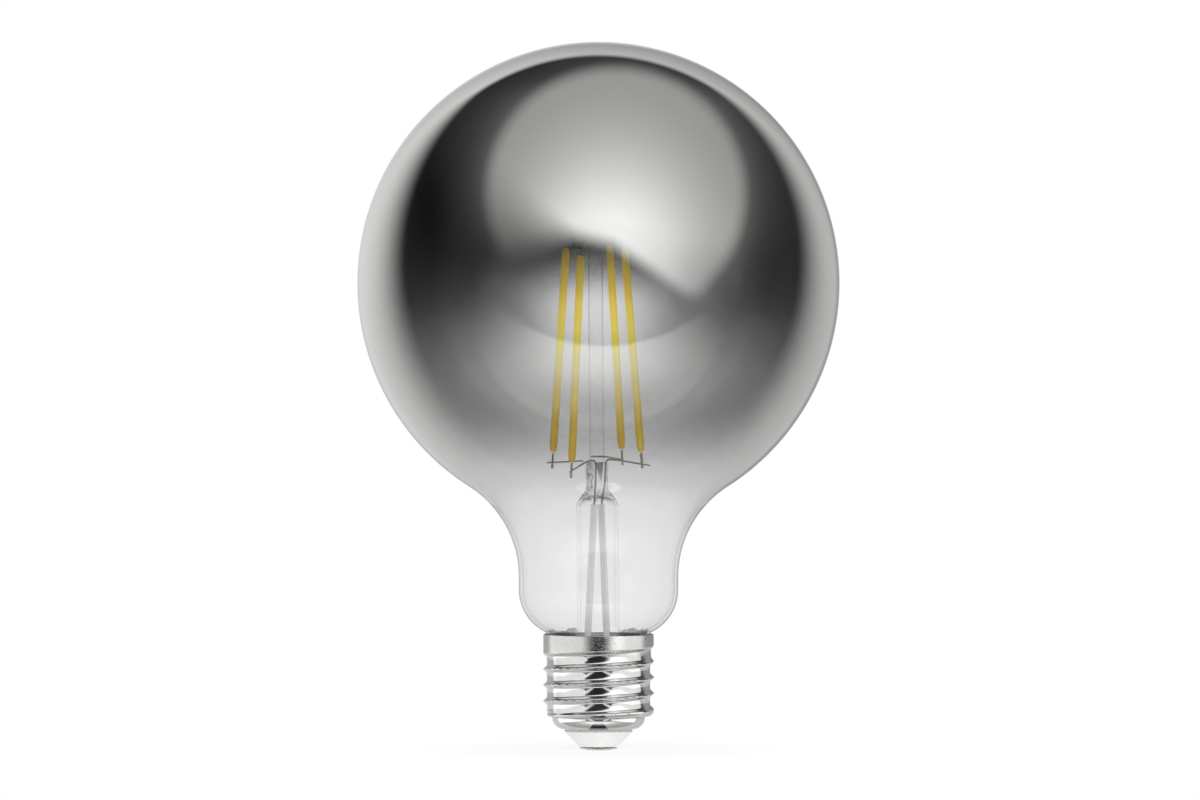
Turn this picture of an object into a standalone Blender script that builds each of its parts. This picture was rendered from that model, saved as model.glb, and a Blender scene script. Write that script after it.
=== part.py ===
"""LED filament globe bulb on a 27 mm screw cap, standing cap down.

Lengths are in metres and +Z is up. The origin is the middle of the contact's flat foot, and the
lamp's axis runs up from there to the crown of the glass.
"""

import math

import bmesh
import bpy
from mathutils import Matrix, Vector

MM = 0.001
TURN = 2.0 * math.pi
UP = Vector((0.0, 0.0, 1.0))
RIGHTWARD = Vector((1.0, 0.0, 0.0))

# Fit between pieces that touch on the real bulb, and how far a cutter overruns a face
GAP = 0.3 * MM
OVERRUN = 3.0 * GAP

# Screw shell: rolled sheet, from the skirt's rim down to the foot's rim
SHELL_SHEET = 0.3 * MM
CREST_RADIUS = 13.1 * MM
SKIRT_STEP = 0.05 * MM
SKIRT_RIM_Z = 27.35 * MM
SKIRT_FOOT_Z = 25.3 * MM
THREAD_PITCH = 3.629 * MM
THREAD_DEPTH = 0.92 * MM
THREAD_TOP_Z = 24.6 * MM
THREAD_FOOT_Z = 9.4 * MM
CREST_Z = 9.56 * MM
GROOVE_START_TURN = -0.95
GROOVE_END_TURN = 3.35
GROOVE_FADE_TURNS = 0.3
GROOVE_ROUNDING = 1.3
ROWS_PER_PITCH = 5
SHOULDER_ROUND = 1.5 * MM
SHOULDER_STEPS = 4
FOOT_STEP = 0.6 * MM
FOOT_DROP = 0.2 * MM
FOOT_DOME_RADIUS = 2.8 * MM
FOOT_DOME_STEPS = 5
SHELL_SEGMENTS = 36

# Insulator and centre contact
INSULATOR_EDGE = 0.2 * MM
INSULATOR_EDGE_HEIGHT = 0.5 * MM
INSULATOR_FOOT_RADIUS = 4.75 * MM
INSULATOR_FLANGE = 0.9 * MM
INSULATOR_FLANGE_HEIGHT = 1.2 * MM
CONTACT_RADIUS = 4.55 * MM
CONTACT_FLAT_RADIUS = 2.6 * MM
CONTACT_THICKNESS = 0.5 * MM
CONTACT_EDGE_SHARE = 0.7
CONTACT_SLOPE_SHARE = 0.2
CONTACT_STEM_RADIUS = 1.2 * MM
CONTACT_STEM_TOP_Z = 4.3 * MM
CAP_SEGMENTS = 28

# Glass globe, its flared neck, and the seal tube that stands in the cap
GLASS_WALL = 0.8 * MM
GLOBE_RADIUS = 57.0 * MM
NECK_RADIUS = 18.86 * MM
NECK_LENGTH = 3.05 * MM
FLARE_RADIUS = 25.3 * MM
COLLAR_RADIUS = 11.1 * MM
COLLAR_OVERHANG = 0.5 * MM
COLLAR_LIFT = 0.46 * MM
SEAL_FOOT_Z = 21.8 * MM
SEAL_STEP_DROP = 4.0 * GAP
CEMENT_WALL = 0.95 * MM
CEMENT_BELOW_RIM = 0.15 * MM
CEMENT_LIP_FIT = 1.2 * GAP
GLOBE_SEGMENTS = 36
CROWN_STEPS = 10
BELLY_STEPS = 5
FLARE_STEPS = 5
COLLAR_STEPS = 4

# Stem: flared foot, tube, shoulder and flat press round the leads
MOUNT_LEAN = math.radians(0.45)
STEM_WALL = 0.7 * MM
STEM_ROOF_RISE = 3.0 * STEM_WALL
STEM_TUBE_RADIUS = 5.0 * MM
STEM_FLARE_HEIGHT = 6.5 * MM
STEM_FLARE_SPREAD = 2.4
STEM_FLARE_FALL = 0.8
STEM_FLARE_STEPS = 5
STEM_FOOT_LIP = 0.9 * MM
STEM_TUBE_TOP_Z = 57.6 * MM
PRESS_FOOT_Z = 61.7 * MM
PRESS_TOP_Z = 68.0 * MM
PRESS_HALF_THICKNESS = 2.1 * MM
PRESS_HALF_WIDTH = 5.75 * MM
PRESS_EDGE_SHARE = 0.2
PRESS_TURN = math.radians(74.0)
STEM_SHOULDER_SPREAD = 0.8
STEM_SHOULDER_STEPS = 6
STEM_SEGMENTS = 24

# Exhaust tube inside the stem, tipped off in the cap
EXHAUST_RADIUS = 1.6 * MM
EXHAUST_WALL = 0.6 * MM
EXHAUST_TIP_Z = 15.4 * MM
EXHAUST_TIP_WALL = 1.6 * MM
EXHAUST_TIP_HEIGHT = 1.6 * MM
EXHAUST_TIP_WIDTH_SHARE = 0.7
EXHAUST_TIP_RISE_SHARE = 0.4
TUBE_SEGMENTS = 12

# Support rod and the button melted on its end
ROD_RADIUS = 1.75 * MM
ROD_SEGMENTS = 20
BUTTON_RADIUS = 2.3 * MM
BUTTON_HEIGHT = 3.4 * MM
BUTTON_BELOW_HEADS = 0.1 * MM
BUTTON_WAIST = 2.0 * GAP
BUTTON_TOP_PHASE = 0.05
BUTTON_FOOT_PHASE = 0.8
BUTTON_ROUNDING = 0.6
BUTTON_STEPS = 7

# Filaments: each stands from a ring of feet to a smaller ring of heads
FILAMENT_LENGTH = 48.6 * MM
FILAMENT_RADIUS = 0.92 * MM
FILAMENT_TAPER = 2.2 * MM
FILAMENT_TIP_RADIUS = 0.4 * MM
FILAMENT_TAPER_STEPS = 4
FOOT_RING_RADIUS = 11.96 * MM
HEAD_RING_RADIUS = 7.7 * MM
RING_TURN = math.radians(-29.6)
HEAD_TWIST = math.radians(3.2)
FILAMENT_SEGMENTS = 12

# Tabs welded to the wires
TAB_WIDTH = 0.62 * MM
TAB_THICKNESS = 0.2 * MM
LOWER_TAB_LENGTH = 3.6 * MM
UPPER_TAB_LENGTH = 2.8 * MM
UPPER_WELD_RISE = 1.75 * MM

# Wires
WIRE_RADIUS = 0.22 * MM
WIRE_BEVEL_STEPS = 2
ARM_BEND = 1.0 * MM
BEND_LEG_SHARE = 0.45
ARM_Z = PRESS_TOP_Z + 0.55 * MM
ARM_END = 2.0 * MM
BRANCH_END = 1.4 * MM
LEFT_ARM_KNEE = (-2.36 * MM, -5.5 * MM, ARM_Z - 0.3 * MM)
LEFT_BRANCH_START = (-3.2 * MM, -5.3 * MM, ARM_Z - 0.2 * MM)
RIGHT_ARM_KNEE = (4.2 * MM, 0.4 * MM, ARM_Z)
RIGHT_BRANCH_START = (-1.5 * MM, 2.5 * MM, ARM_Z + 0.75 * MM)
RIGHT_BRANCH_KNEE = (1.7 * MM, 3.5 * MM, ARM_Z + 0.75 * MM)
CHANNEL_SEGMENTS = 10
LINK_END = 0.9 * MM
LINK_CLEARANCE = 2.0 * GAP
LINK_SPACING = 0.8 * MM
UPPER_LINK_IN_BUTTON = 2.4 * MM
PRESS_LEAD_X = 3.0 * MM
LEAD_ENTRY = 2.3 * MM
LEFT_LEAD_OFF_PLANE = -0.57 * MM
RIGHT_LEAD_OFF_PLANE = -1.22 * MM

# Sleeves on the leads
SLEEVE_WALL = 0.3 * MM
SLEEVE_TOP_Z = 57.6 * MM
SLEEVE_FOOT_Z = 24.6 * MM
SLEEVE_SHORT_OF_BEND = 3.0 * GAP
LEFT_SLEEVE_TOP = (-0.77 * MM, -2.9 * MM)
LEFT_SLEEVE_FOOT = (-2.62 * MM, -1.92 * MM)
RIGHT_SLEEVE_TOP = (0.9 * MM, 2.88 * MM)
RIGHT_SLEEVE_FOOT = (2.08 * MM, 2.35 * MM)

# Driver board and its parts, standing on the insulator inside the cap
BOARD_WIDTH = 14.0 * MM
BOARD_HEIGHT = 12.8 * MM
BOARD_THICKNESS = 1.0 * MM
BOARD_INSET = 8.6 * MM
BOARD_FACE_Y = CREST_RADIUS - BOARD_INSET
CAPACITOR_RADIUS = 3.1 * MM
CAPACITOR_LENGTH = 8.0 * MM
CAPACITOR_LIFT = 4.2 * MM
INDUCTOR_RADIUS = 1.6 * MM
INDUCTOR_LENGTH = 5.2 * MM
RESISTOR_RADIUS = 1.1 * MM
RESISTOR_LENGTH = 4.8 * MM
RECTIFIER_SIZE = (4.7 * MM, 2.5 * MM, 3.9 * MM)
CHIP_SIZE = (4.9 * MM, 1.6 * MM, 3.9 * MM)
SOLDER_DROP = 1.4 * MM
SOLDER_X = 4.2 * MM
SUPPLY_BESIDE_CAPACITOR = 4.0 * GAP
ROUND_PART_SEGMENTS = 16

# Each filament's own height of foot above the press, and drop from there to its weld
FILAMENTS = {
    1: {"quarter": 2, "foot_lift": 2.4 * MM, "weld_drop": 2.5 * MM},
    2: {"quarter": 3, "foot_lift": 0.3 * MM, "weld_drop": 1.9 * MM},
    3: {"quarter": 1, "foot_lift": 3.0 * MM, "weld_drop": 2.5 * MM},
    4: {"quarter": 0, "foot_lift": 2.4 * MM, "weld_drop": 3.0 * MM},
}


def clear_scene():
    for obj in list(bpy.data.objects):
        bpy.data.objects.remove(obj, do_unlink=True)


def new_collection(name):
    collection = bpy.data.collections.new(name)
    bpy.context.scene.collection.children.link(collection)
    return collection


def finish(name, colour, roughness, metallic=0.0, alpha=1.0):
    material = bpy.data.materials.new(name)
    material.use_nodes = True
    shader = material.node_tree.nodes["Principled BSDF"]
    shader.inputs["Base Color"].default_value = (*colour, 1.0)
    shader.inputs["Roughness"].default_value = roughness
    shader.inputs["Metallic"].default_value = metallic
    shader.inputs["Alpha"].default_value = alpha
    return material


def add(name, data, material, parent=None):
    obj = bpy.data.objects.new(name, data)
    if material:
        data.materials.append(material)
    BULB.objects.link(obj)
    obj.parent = parent
    return obj


def settle(obj):
    """Keep an object's evaluated shape as its own mesh and drop its modifiers."""
    graph = bpy.context.evaluated_depsgraph_get()
    mesh = bpy.data.meshes.new_from_object(obj.evaluated_get(graph))
    obj.modifiers.clear()
    obj.data = mesh
    mesh.shade_smooth()


def polar(centre, radius, degrees):
    angle = math.radians(degrees)
    return (centre[0] + radius * math.cos(angle), centre[1] + radius * math.sin(angle))


def arc(centre, radius, start, end, steps):
    """Points (r, z) on an arc, from the start angle to the end angle in degrees."""
    return [polar(centre, radius, start + (end - start) * i / steps) for i in range(steps + 1)]


def inner_side(outline, wall):
    """The same outline one wall further in, for a section that runs top to bottom outside."""
    inner = []
    for i, (r, z) in enumerate(outline):
        before = Vector(outline[max(i - 1, 0)])
        after = Vector(outline[min(i + 1, len(outline) - 1)])
        along = (after - before).normalized()
        moved = Vector((r, z)) + wall * Vector((along.y, -along.x))
        inner.append((0.0, z - wall) if r == 0.0 else (moved.x, moved.y))
    return inner


def turned(name, section, segments, material, ring=False, parent=None):
    """Turn a section (r, z) about Z. It runs down the outer side; a ring's section closes on itself."""
    count = len(section)
    edges = [(i, i + 1) for i in range(count - 1)]
    if ring:
        edges.append((count - 1, 0))
    mesh = bpy.data.meshes.new(name)
    mesh.from_pydata([(r, 0.0, z) for r, z in section], edges, [])
    obj = add(name, mesh, material, parent)
    screw = obj.modifiers.new("Turn", "SCREW")
    screw.axis = "Z"
    screw.angle = TURN
    screw.steps = segments
    screw.render_steps = segments
    screw.use_merge_vertices = True
    screw.merge_threshold = 0.000001
    screw.use_smooth_shade = True
    return obj


def rounded(points, bend):
    """The route with each inner corner eased by a short curve that starts a bend's length away."""
    points = [Vector(p) for p in points]
    route = [points[0]]
    for before, corner, after in zip(points, points[1:], points[2:]):
        shorter_leg = min((before - corner).length, (after - corner).length)
        reach = min(bend, shorter_leg * BEND_LEG_SHARE)
        start = corner + (before - corner).normalized() * reach
        end = corner + (after - corner).normalized() * reach
        route += [start, (start + 2.0 * corner + end) / 4.0, end]
    return route + [points[-1]]


def wire(name, route, material, radius=WIRE_RADIUS, parent=None):
    curve = bpy.data.curves.new(name, "CURVE")
    curve.dimensions = "3D"
    spline = curve.splines.new("POLY")
    spline.points.add(len(route) - 1)
    for point, place in zip(spline.points, route):
        point.co = (*place, 1.0)
    curve.bevel_depth = radius
    curve.bevel_resolution = WIRE_BEVEL_STEPS
    curve.use_fill_caps = True
    return add(name, curve, material, parent)


def aim(obj, start, end, side=UP):
    """Stand an object on a start point with its Z axis to the end point and its Y axis to one side."""
    z_axis = (Vector(end) - Vector(start)).normalized()
    x_axis = Vector(side).cross(z_axis).normalized()
    y_axis = z_axis.cross(x_axis)
    turn = Matrix((x_axis, y_axis, z_axis)).transposed().to_4x4()
    obj.matrix_local = Matrix.Translation(start) @ turn


def block(name, size, centre, material, parent=None):
    mesh = bpy.data.meshes.new(name)
    shape = bmesh.new()
    bmesh.ops.create_cube(shape, size=1.0)
    bmesh.ops.scale(shape, vec=size, verts=shape.verts)
    shape.to_mesh(mesh)
    shape.free()
    obj = add(name, mesh, material, parent)
    obj.location = centre
    return obj


def round_part(name, radius, length, centre, material):
    """A cylinder that lies along X."""
    mesh = bpy.data.meshes.new(name)
    shape = bmesh.new()
    bmesh.ops.create_cone(
        shape, cap_ends=True, segments=ROUND_PART_SEGMENTS, radius1=radius, radius2=radius,
        depth=length,
    )
    shape.to_mesh(mesh)
    shape.free()
    obj = add(name, mesh, material)
    obj.location = centre
    obj.rotation_euler = (0.0, TURN / 4, 0.0)
    return obj


def channel(name, start, end, side, parent):
    """A cutter for a wire's way through glass, from one point to another, with its Y axis to one side."""
    start, end = Vector(start), Vector(end)
    mesh = bpy.data.meshes.new(name)
    shape = bmesh.new()
    bore = WIRE_RADIUS + GAP
    bmesh.ops.create_cone(
        shape, cap_ends=True, segments=CHANNEL_SEGMENTS, radius1=bore, radius2=bore,
        depth=(end - start).length,
    )
    bmesh.ops.translate(shape, vec=(0.0, 0.0, (end - start).length / 2), verts=shape.verts)
    shape.to_mesh(mesh)
    shape.free()
    obj = bpy.data.objects.new(name, mesh)
    CUTTERS.objects.link(obj)
    obj.parent = parent
    obj.hide_render = True
    obj.display_type = "WIRE"
    aim(obj, start, end, side)
    return obj


def cut(obj, cutters):
    for cutter in cutters:
        boolean = obj.modifiers.new(cutter.name, "BOOLEAN")
        boolean.operation = "DIFFERENCE"
        boolean.solver = "EXACT"
        boolean.object = cutter


def smooth_step(value):
    value = min(max(value, 0.0), 1.0)
    return value * value * (3.0 - 2.0 * value)


# Screw shell

SKIRT_RADIUS = CREST_RADIUS - SKIRT_STEP
SHOULDER_Z = THREAD_FOOT_Z - SHOULDER_ROUND
DOME_CENTRE_RADIUS = CREST_RADIUS - SHOULDER_ROUND - FOOT_STEP - FOOT_DOME_RADIUS
SHELL_RIM_RADIUS = DOME_CENTRE_RADIUS
DOME_Z = SHOULDER_Z - FOOT_DROP
SHELL_RIM_Z = DOME_Z - FOOT_DOME_RADIUS


def shell_outline():
    """The shell's outer side before the groove is rolled in."""
    row = THREAD_PITCH / ROWS_PER_PITCH
    rows = round((THREAD_TOP_Z - THREAD_FOOT_Z) / row)
    threaded = [(CREST_RADIUS, THREAD_TOP_Z - i * row) for i in range(rows)]
    shoulder_centre = (CREST_RADIUS - SHOULDER_ROUND, THREAD_FOOT_Z)
    shoulder = arc(shoulder_centre, SHOULDER_ROUND, 0, -90, SHOULDER_STEPS)
    dome = arc((DOME_CENTRE_RADIUS, DOME_Z), FOOT_DOME_RADIUS, 0, -90, FOOT_DOME_STEPS)
    skirt = [(SKIRT_RADIUS, SKIRT_RIM_Z), (SKIRT_RADIUS, SKIRT_FOOT_Z)]
    return skirt + threaded + shoulder + dome


def groove_depth(angle, z):
    """How far the rolled groove lies inside the crests at an angle round the cap and a height."""
    turns = (z - CREST_Z) / THREAD_PITCH - angle / TURN
    crest = math.floor(turns)
    along = crest + angle / TURN
    begin = smooth_step((along - GROOVE_START_TURN) / GROOVE_FADE_TURNS)
    end = smooth_step((GROOVE_END_TURN - along) / GROOVE_FADE_TURNS)
    across = math.sin(math.pi * (turns - crest)) ** GROOVE_ROUNDING
    return THREAD_DEPTH * across * begin * end


def row_shift(angle, z):
    """Slide a row of the wall along the helix, so that its facets follow the crests."""
    row = THREAD_PITCH / ROWS_PER_PITCH
    rise = THREAD_PITCH * angle / TURN
    from_top = smooth_step((SKIRT_FOOT_Z - z) / THREAD_PITCH)
    from_foot = smooth_step((z - SHOULDER_Z) / THREAD_PITCH)
    return (rise - row * round(rise / row)) * from_top * from_foot


def roll_thread(mesh):
    """Press the helical groove into the turned shell, in both faces of its sheet."""
    for vertex in mesh.vertices:
        x, y, z = vertex.co
        if z > SKIRT_FOOT_Z or z < SHOULDER_Z:
            continue
        radius = math.hypot(x, y)
        angle = math.atan2(y, x) % TURN
        height = z + row_shift(angle, z)
        scale = (radius - groove_depth(angle, height)) / radius
        vertex.co = (x * scale, y * scale, height)


def make_screw_shell():
    outer = shell_outline()
    section = outer + inner_side(outer, SHELL_SHEET)[::-1]
    shell = turned("screw_shell", section, SHELL_SEGMENTS, CHROMED, ring=True)
    settle(shell)
    roll_thread(shell.data)
    shape = bmesh.new()
    shape.from_mesh(shell.data)
    bmesh.ops.triangulate(shape, faces=shape.faces, quad_method="SHORT_EDGE")
    shape.to_mesh(shell.data)
    shape.free()


# Insulator and contact

INSULATOR_NECK_RADIUS = SHELL_RIM_RADIUS - GAP
INSULATOR_TOP_Z = SHELL_RIM_Z + SHELL_SHEET + GAP + INSULATOR_FLANGE_HEIGHT
INSULATOR_FOOT_Z = CONTACT_THICKNESS + GAP


def make_insulator():
    flange_z = SHELL_RIM_Z + SHELL_SHEET + GAP
    flange_radius = INSULATOR_NECK_RADIUS + INSULATOR_FLANGE
    edge_z = SHELL_RIM_Z - GAP
    edge_radius = INSULATOR_NECK_RADIUS + INSULATOR_EDGE
    bore = CONTACT_STEM_RADIUS + GAP
    section = [
        (flange_radius, INSULATOR_TOP_Z),
        (flange_radius, flange_z + GAP),
        (INSULATOR_NECK_RADIUS, flange_z),
        (INSULATOR_NECK_RADIUS, edge_z),
        (edge_radius, edge_z),
        (edge_radius, edge_z - INSULATOR_EDGE_HEIGHT),
        (INSULATOR_FOOT_RADIUS, INSULATOR_FOOT_Z),
        (bore, INSULATOR_FOOT_Z),
        (bore, INSULATOR_TOP_Z),
    ]
    turned("insulator", section, CAP_SEGMENTS, WHITE_PLASTIC, ring=True)


def make_contact():
    section = [
        (0.0, CONTACT_STEM_TOP_Z),
        (CONTACT_STEM_RADIUS, CONTACT_STEM_TOP_Z),
        (CONTACT_STEM_RADIUS, CONTACT_THICKNESS),
        (CONTACT_RADIUS, CONTACT_THICKNESS),
        (CONTACT_RADIUS, CONTACT_EDGE_SHARE * CONTACT_THICKNESS),
        ((CONTACT_RADIUS + CONTACT_FLAT_RADIUS) / 2, CONTACT_SLOPE_SHARE * CONTACT_THICKNESS),
        (CONTACT_FLAT_RADIUS, 0.0),
        (0.0, 0.0),
    ]
    turned("centre_contact", section, CAP_SEGMENTS, SOLDERED)


# Glass globe: every height follows from the cap's rim

COLLAR_END_RADIUS = SKIRT_RADIUS - COLLAR_OVERHANG
COLLAR_CENTRE_RADIUS = NECK_RADIUS - COLLAR_RADIUS
COLLAR_END_ANGLE = math.acos((COLLAR_END_RADIUS - COLLAR_CENTRE_RADIUS) / COLLAR_RADIUS)
COLLAR_END_DEGREES = math.degrees(COLLAR_END_ANGLE)
COLLAR_END_Z = SKIRT_RIM_Z + COLLAR_LIFT
COLLAR_Z = COLLAR_END_Z + COLLAR_RADIUS * math.sin(COLLAR_END_ANGLE)
FLARE_Z = COLLAR_Z + NECK_LENGTH
FLARE_CENTRE_RADIUS = NECK_RADIUS + FLARE_RADIUS
FLARE_DROP = math.sqrt((GLOBE_RADIUS + FLARE_RADIUS) ** 2 - FLARE_CENTRE_RADIUS**2)
GLOBE_Z = FLARE_Z + FLARE_DROP
JOIN_ANGLE = math.degrees(math.atan2(FLARE_DROP, FLARE_CENTRE_RADIUS))
CEMENT_OUTER_RADIUS = SKIRT_RADIUS - SHELL_SHEET - GAP
SEAL_RADIUS = CEMENT_OUTER_RADIUS - CEMENT_WALL - GAP
SEAL_STEP_RADIUS = (COLLAR_END_RADIUS + SEAL_RADIUS) / 2


def glass_outline():
    """The outer side from the crown to the open foot of the seal tube."""
    crown = arc((0.0, GLOBE_Z), GLOBE_RADIUS, 90, 0, CROWN_STEPS)
    crown[0] = (0.0, GLOBE_Z + GLOBE_RADIUS)
    belly = arc((0.0, GLOBE_Z), GLOBE_RADIUS, 0, -JOIN_ANGLE, BELLY_STEPS)
    flare = arc(
        (FLARE_CENTRE_RADIUS, FLARE_Z), FLARE_RADIUS, 180 - JOIN_ANGLE, 180, FLARE_STEPS
    )
    collar = arc(
        (COLLAR_CENTRE_RADIUS, COLLAR_Z), COLLAR_RADIUS, 0, -COLLAR_END_DEGREES, COLLAR_STEPS
    )
    seal = [
        (SEAL_STEP_RADIUS, SKIRT_RIM_Z - GAP),
        (SEAL_RADIUS, SKIRT_RIM_Z - SEAL_STEP_DROP),
        (SEAL_RADIUS, SEAL_FOOT_Z),
    ]
    return crown + belly[1:] + flare[1:] + collar + seal


def make_globe():
    outer = glass_outline()
    section = outer + inner_side(outer, GLASS_WALL)[::-1]
    turned("glass_globe", section, GLOBE_SEGMENTS, COATED_GLASS)


def make_cement():
    top_z = SKIRT_RIM_Z - CEMENT_BELOW_RIM
    section = [
        (CEMENT_OUTER_RADIUS, top_z),
        (CEMENT_OUTER_RADIUS, SKIRT_FOOT_Z),
        (SEAL_RADIUS + GAP, SKIRT_FOOT_Z),
        (SEAL_RADIUS + GAP, SKIRT_RIM_Z - SEAL_STEP_DROP),
        (SEAL_STEP_RADIUS + CEMENT_LIP_FIT, top_z - GAP),
        (SEAL_STEP_RADIUS + CEMENT_LIP_FIT, top_z),
    ]
    turned("capping_cement", section, CAP_SEGMENTS, CEMENT, ring=True)


# Stem

SEAL_INNER_RADIUS = SEAL_RADIUS - GLASS_WALL
STEM_FOOT_Z = SEAL_FOOT_Z
STEM_FLARE_TOP_Z = STEM_FOOT_Z + STEM_FLARE_HEIGHT


def stem_outline():
    foot_radius = SEAL_INNER_RADIUS - GAP
    flare_width = foot_radius - STEM_TUBE_RADIUS
    lip_z = STEM_FOOT_Z + STEM_FOOT_LIP
    shoulder = PRESS_FOOT_Z - STEM_TUBE_TOP_Z
    step = STEM_TUBE_RADIUS - PRESS_HALF_THICKNESS
    edge = PRESS_EDGE_SHARE * PRESS_HALF_THICKNESS
    outline = [
        (0.0, PRESS_TOP_Z),
        (PRESS_HALF_THICKNESS - edge, PRESS_TOP_Z),
        (PRESS_HALF_THICKNESS, PRESS_TOP_Z - edge),
        (PRESS_HALF_THICKNESS, (PRESS_TOP_Z + PRESS_FOOT_Z) / 2),
    ]
    for i in range(STEM_SHOULDER_STEPS + 1):
        part = i / STEM_SHOULDER_STEPS
        spread = smooth_step(part) ** STEM_SHOULDER_SPREAD
        outline.append((PRESS_HALF_THICKNESS + step * spread, PRESS_FOOT_Z - shoulder * part))
    for i in range(STEM_FLARE_STEPS + 1):
        part = i / STEM_FLARE_STEPS
        fall = (lip_z - STEM_FLARE_TOP_Z) * part**STEM_FLARE_FALL
        outline.append((
            STEM_TUBE_RADIUS + flare_width * part**STEM_FLARE_SPREAD, STEM_FLARE_TOP_Z + fall
        ))
    return outline + [(foot_radius, STEM_FOOT_Z)]


def stem_section():
    """Solid press on top, hollow tube and flare below."""
    outer = stem_outline()
    hollow_top_z = STEM_TUBE_TOP_Z + STEM_ROOF_RISE
    hollow = [p for p in inner_side(outer, STEM_WALL) if p[1] < hollow_top_z]
    roof = (0.0, hollow[0][1] + STEM_WALL)
    return outer + hollow[::-1] + [roof]


def press_flat(mesh):
    """Widen the stem along its own X where the hot tube is squeezed, and leave the tube round."""
    widest = PRESS_HALF_WIDTH / PRESS_HALF_THICKNESS - 1.0
    for vertex in mesh.vertices:
        pressed = smooth_step((vertex.co.z - STEM_TUBE_TOP_Z) / (PRESS_FOOT_Z - STEM_TUBE_TOP_Z))
        vertex.co.x *= 1.0 + widest * pressed


def on_press(x, y):
    """A place on the press, given along and across it, as X and Y of the mount."""
    cos, sin = math.cos(PRESS_TURN), math.sin(PRESS_TURN)
    return (x * cos - y * sin, x * sin + y * cos)


LEFT_LEAD = on_press(-PRESS_LEAD_X, LEFT_LEAD_OFF_PLANE)
RIGHT_LEAD = on_press(PRESS_LEAD_X, RIGHT_LEAD_OFF_PLANE)


def make_stem():
    stem = turned("glass_stem", stem_section(), STEM_SEGMENTS, CLEAR_GLASS, parent=MOUNT)
    settle(stem)
    press_flat(stem.data)
    stem.rotation_euler.z = PRESS_TURN
    low, high = STEM_TUBE_TOP_Z - OVERRUN, PRESS_TOP_Z + OVERRUN
    cut(stem, [
        channel("left_lead_channel", (*LEFT_LEAD, low), (*LEFT_LEAD, high), RIGHTWARD, MOUNT),
        channel("right_lead_channel", (*RIGHT_LEAD, low), (*RIGHT_LEAD, high), RIGHTWARD, MOUNT),
    ])


def make_exhaust_tube():
    roof_z = stem_section()[-1][1]
    top_z = roof_z - STEM_WALL - GAP
    bore = EXHAUST_RADIUS - EXHAUST_WALL
    section = [
        (0.0, EXHAUST_TIP_Z + EXHAUST_TIP_WALL),
        (bore, EXHAUST_TIP_Z + EXHAUST_TIP_WALL + bore),
        (bore, top_z),
        (EXHAUST_RADIUS, top_z),
        (EXHAUST_RADIUS, EXHAUST_TIP_Z + EXHAUST_TIP_HEIGHT),
        (EXHAUST_TIP_WIDTH_SHARE * EXHAUST_RADIUS,
         EXHAUST_TIP_Z + EXHAUST_TIP_RISE_SHARE * EXHAUST_TIP_HEIGHT),
        (0.0, EXHAUST_TIP_Z),
    ]
    turned("exhaust_tube", section, TUBE_SEGMENTS, CLEAR_GLASS, parent=MOUNT)


# Filaments and the places where their tabs meet the wires


def ring_place(radius, turn, quarter):
    angle = turn + quarter * TURN / 4
    return Vector((radius * math.cos(angle), radius * math.sin(angle), 0.0))


def filament_ends(number):
    own = FILAMENTS[number]
    foot = ring_place(FOOT_RING_RADIUS, RING_TURN, own["quarter"])
    head = ring_place(HEAD_RING_RADIUS, RING_TURN + HEAD_TWIST, own["quarter"])
    rise = math.sqrt(FILAMENT_LENGTH**2 - (head - foot).length_squared)
    foot.z = PRESS_TOP_Z + own["foot_lift"]
    head.z = foot.z + rise
    return foot, head


def beyond(number, lower, distance):
    """A point on a filament's own line, past its foot or its head."""
    foot, head = filament_ends(number)
    axis = (head - foot).normalized()
    return foot - axis * distance if lower else head + axis * distance


WELD_OFFSET = WIRE_RADIUS + GAP + TAB_THICKNESS / 2
HEAD_Z = sum(filament_ends(n)[1].z for n in FILAMENTS) / len(FILAMENTS)
BUTTON_Z = HEAD_Z - BUTTON_BELOW_HEADS
UPPER_LINK_Z = BUTTON_Z + UPPER_LINK_IN_BUTTON
LOWER_LINK_Z = UPPER_LINK_Z - LINK_SPACING


def sideways(direction):
    return UP.cross(Vector((direction.x, direction.y, 0.0))).normalized()


def make_filament(number):
    foot, head = filament_ends(number)
    half = FILAMENT_LENGTH / 2
    taper = []
    for i in range(FILAMENT_TAPER_STEPS + 1):
        part = i / FILAMENT_TAPER_STEPS
        radius = FILAMENT_RADIUS + (FILAMENT_TIP_RADIUS - FILAMENT_RADIUS) * part**2
        taper.append((radius, half - FILAMENT_TAPER * (1.0 - part)))
    section = [(0.0, half)] + taper[::-1] + [(r, -z) for r, z in taper] + [(0.0, -half)]
    filament = turned(f"filament_{number}", section, FILAMENT_SEGMENTS, PHOSPHOR, parent=MOUNT)
    aim(filament, (foot + head) / 2, head, sideways(foot))


def make_tab(name, number, lower, length, side):
    near = beyond(number, lower, GAP)
    far = beyond(number, lower, GAP + length)
    tab = block(name, (TAB_WIDTH, TAB_THICKNESS, length), (0.0, 0.0, 0.0), NICKEL, MOUNT)
    aim(tab, (near + far) / 2, far, side)


def arm_weld(number, arm_start):
    """Where an arm from its start passes the filament's lower tab, a fit beside the strip."""
    weld = beyond(number, True, FILAMENTS[number]["weld_drop"])
    side = sideways(weld - Vector(arm_start))
    return weld + side * WELD_OFFSET, side


# Wires of the mount


def past(start, weld, distance):
    return weld + (weld - Vector(start)).normalized() * distance


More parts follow.
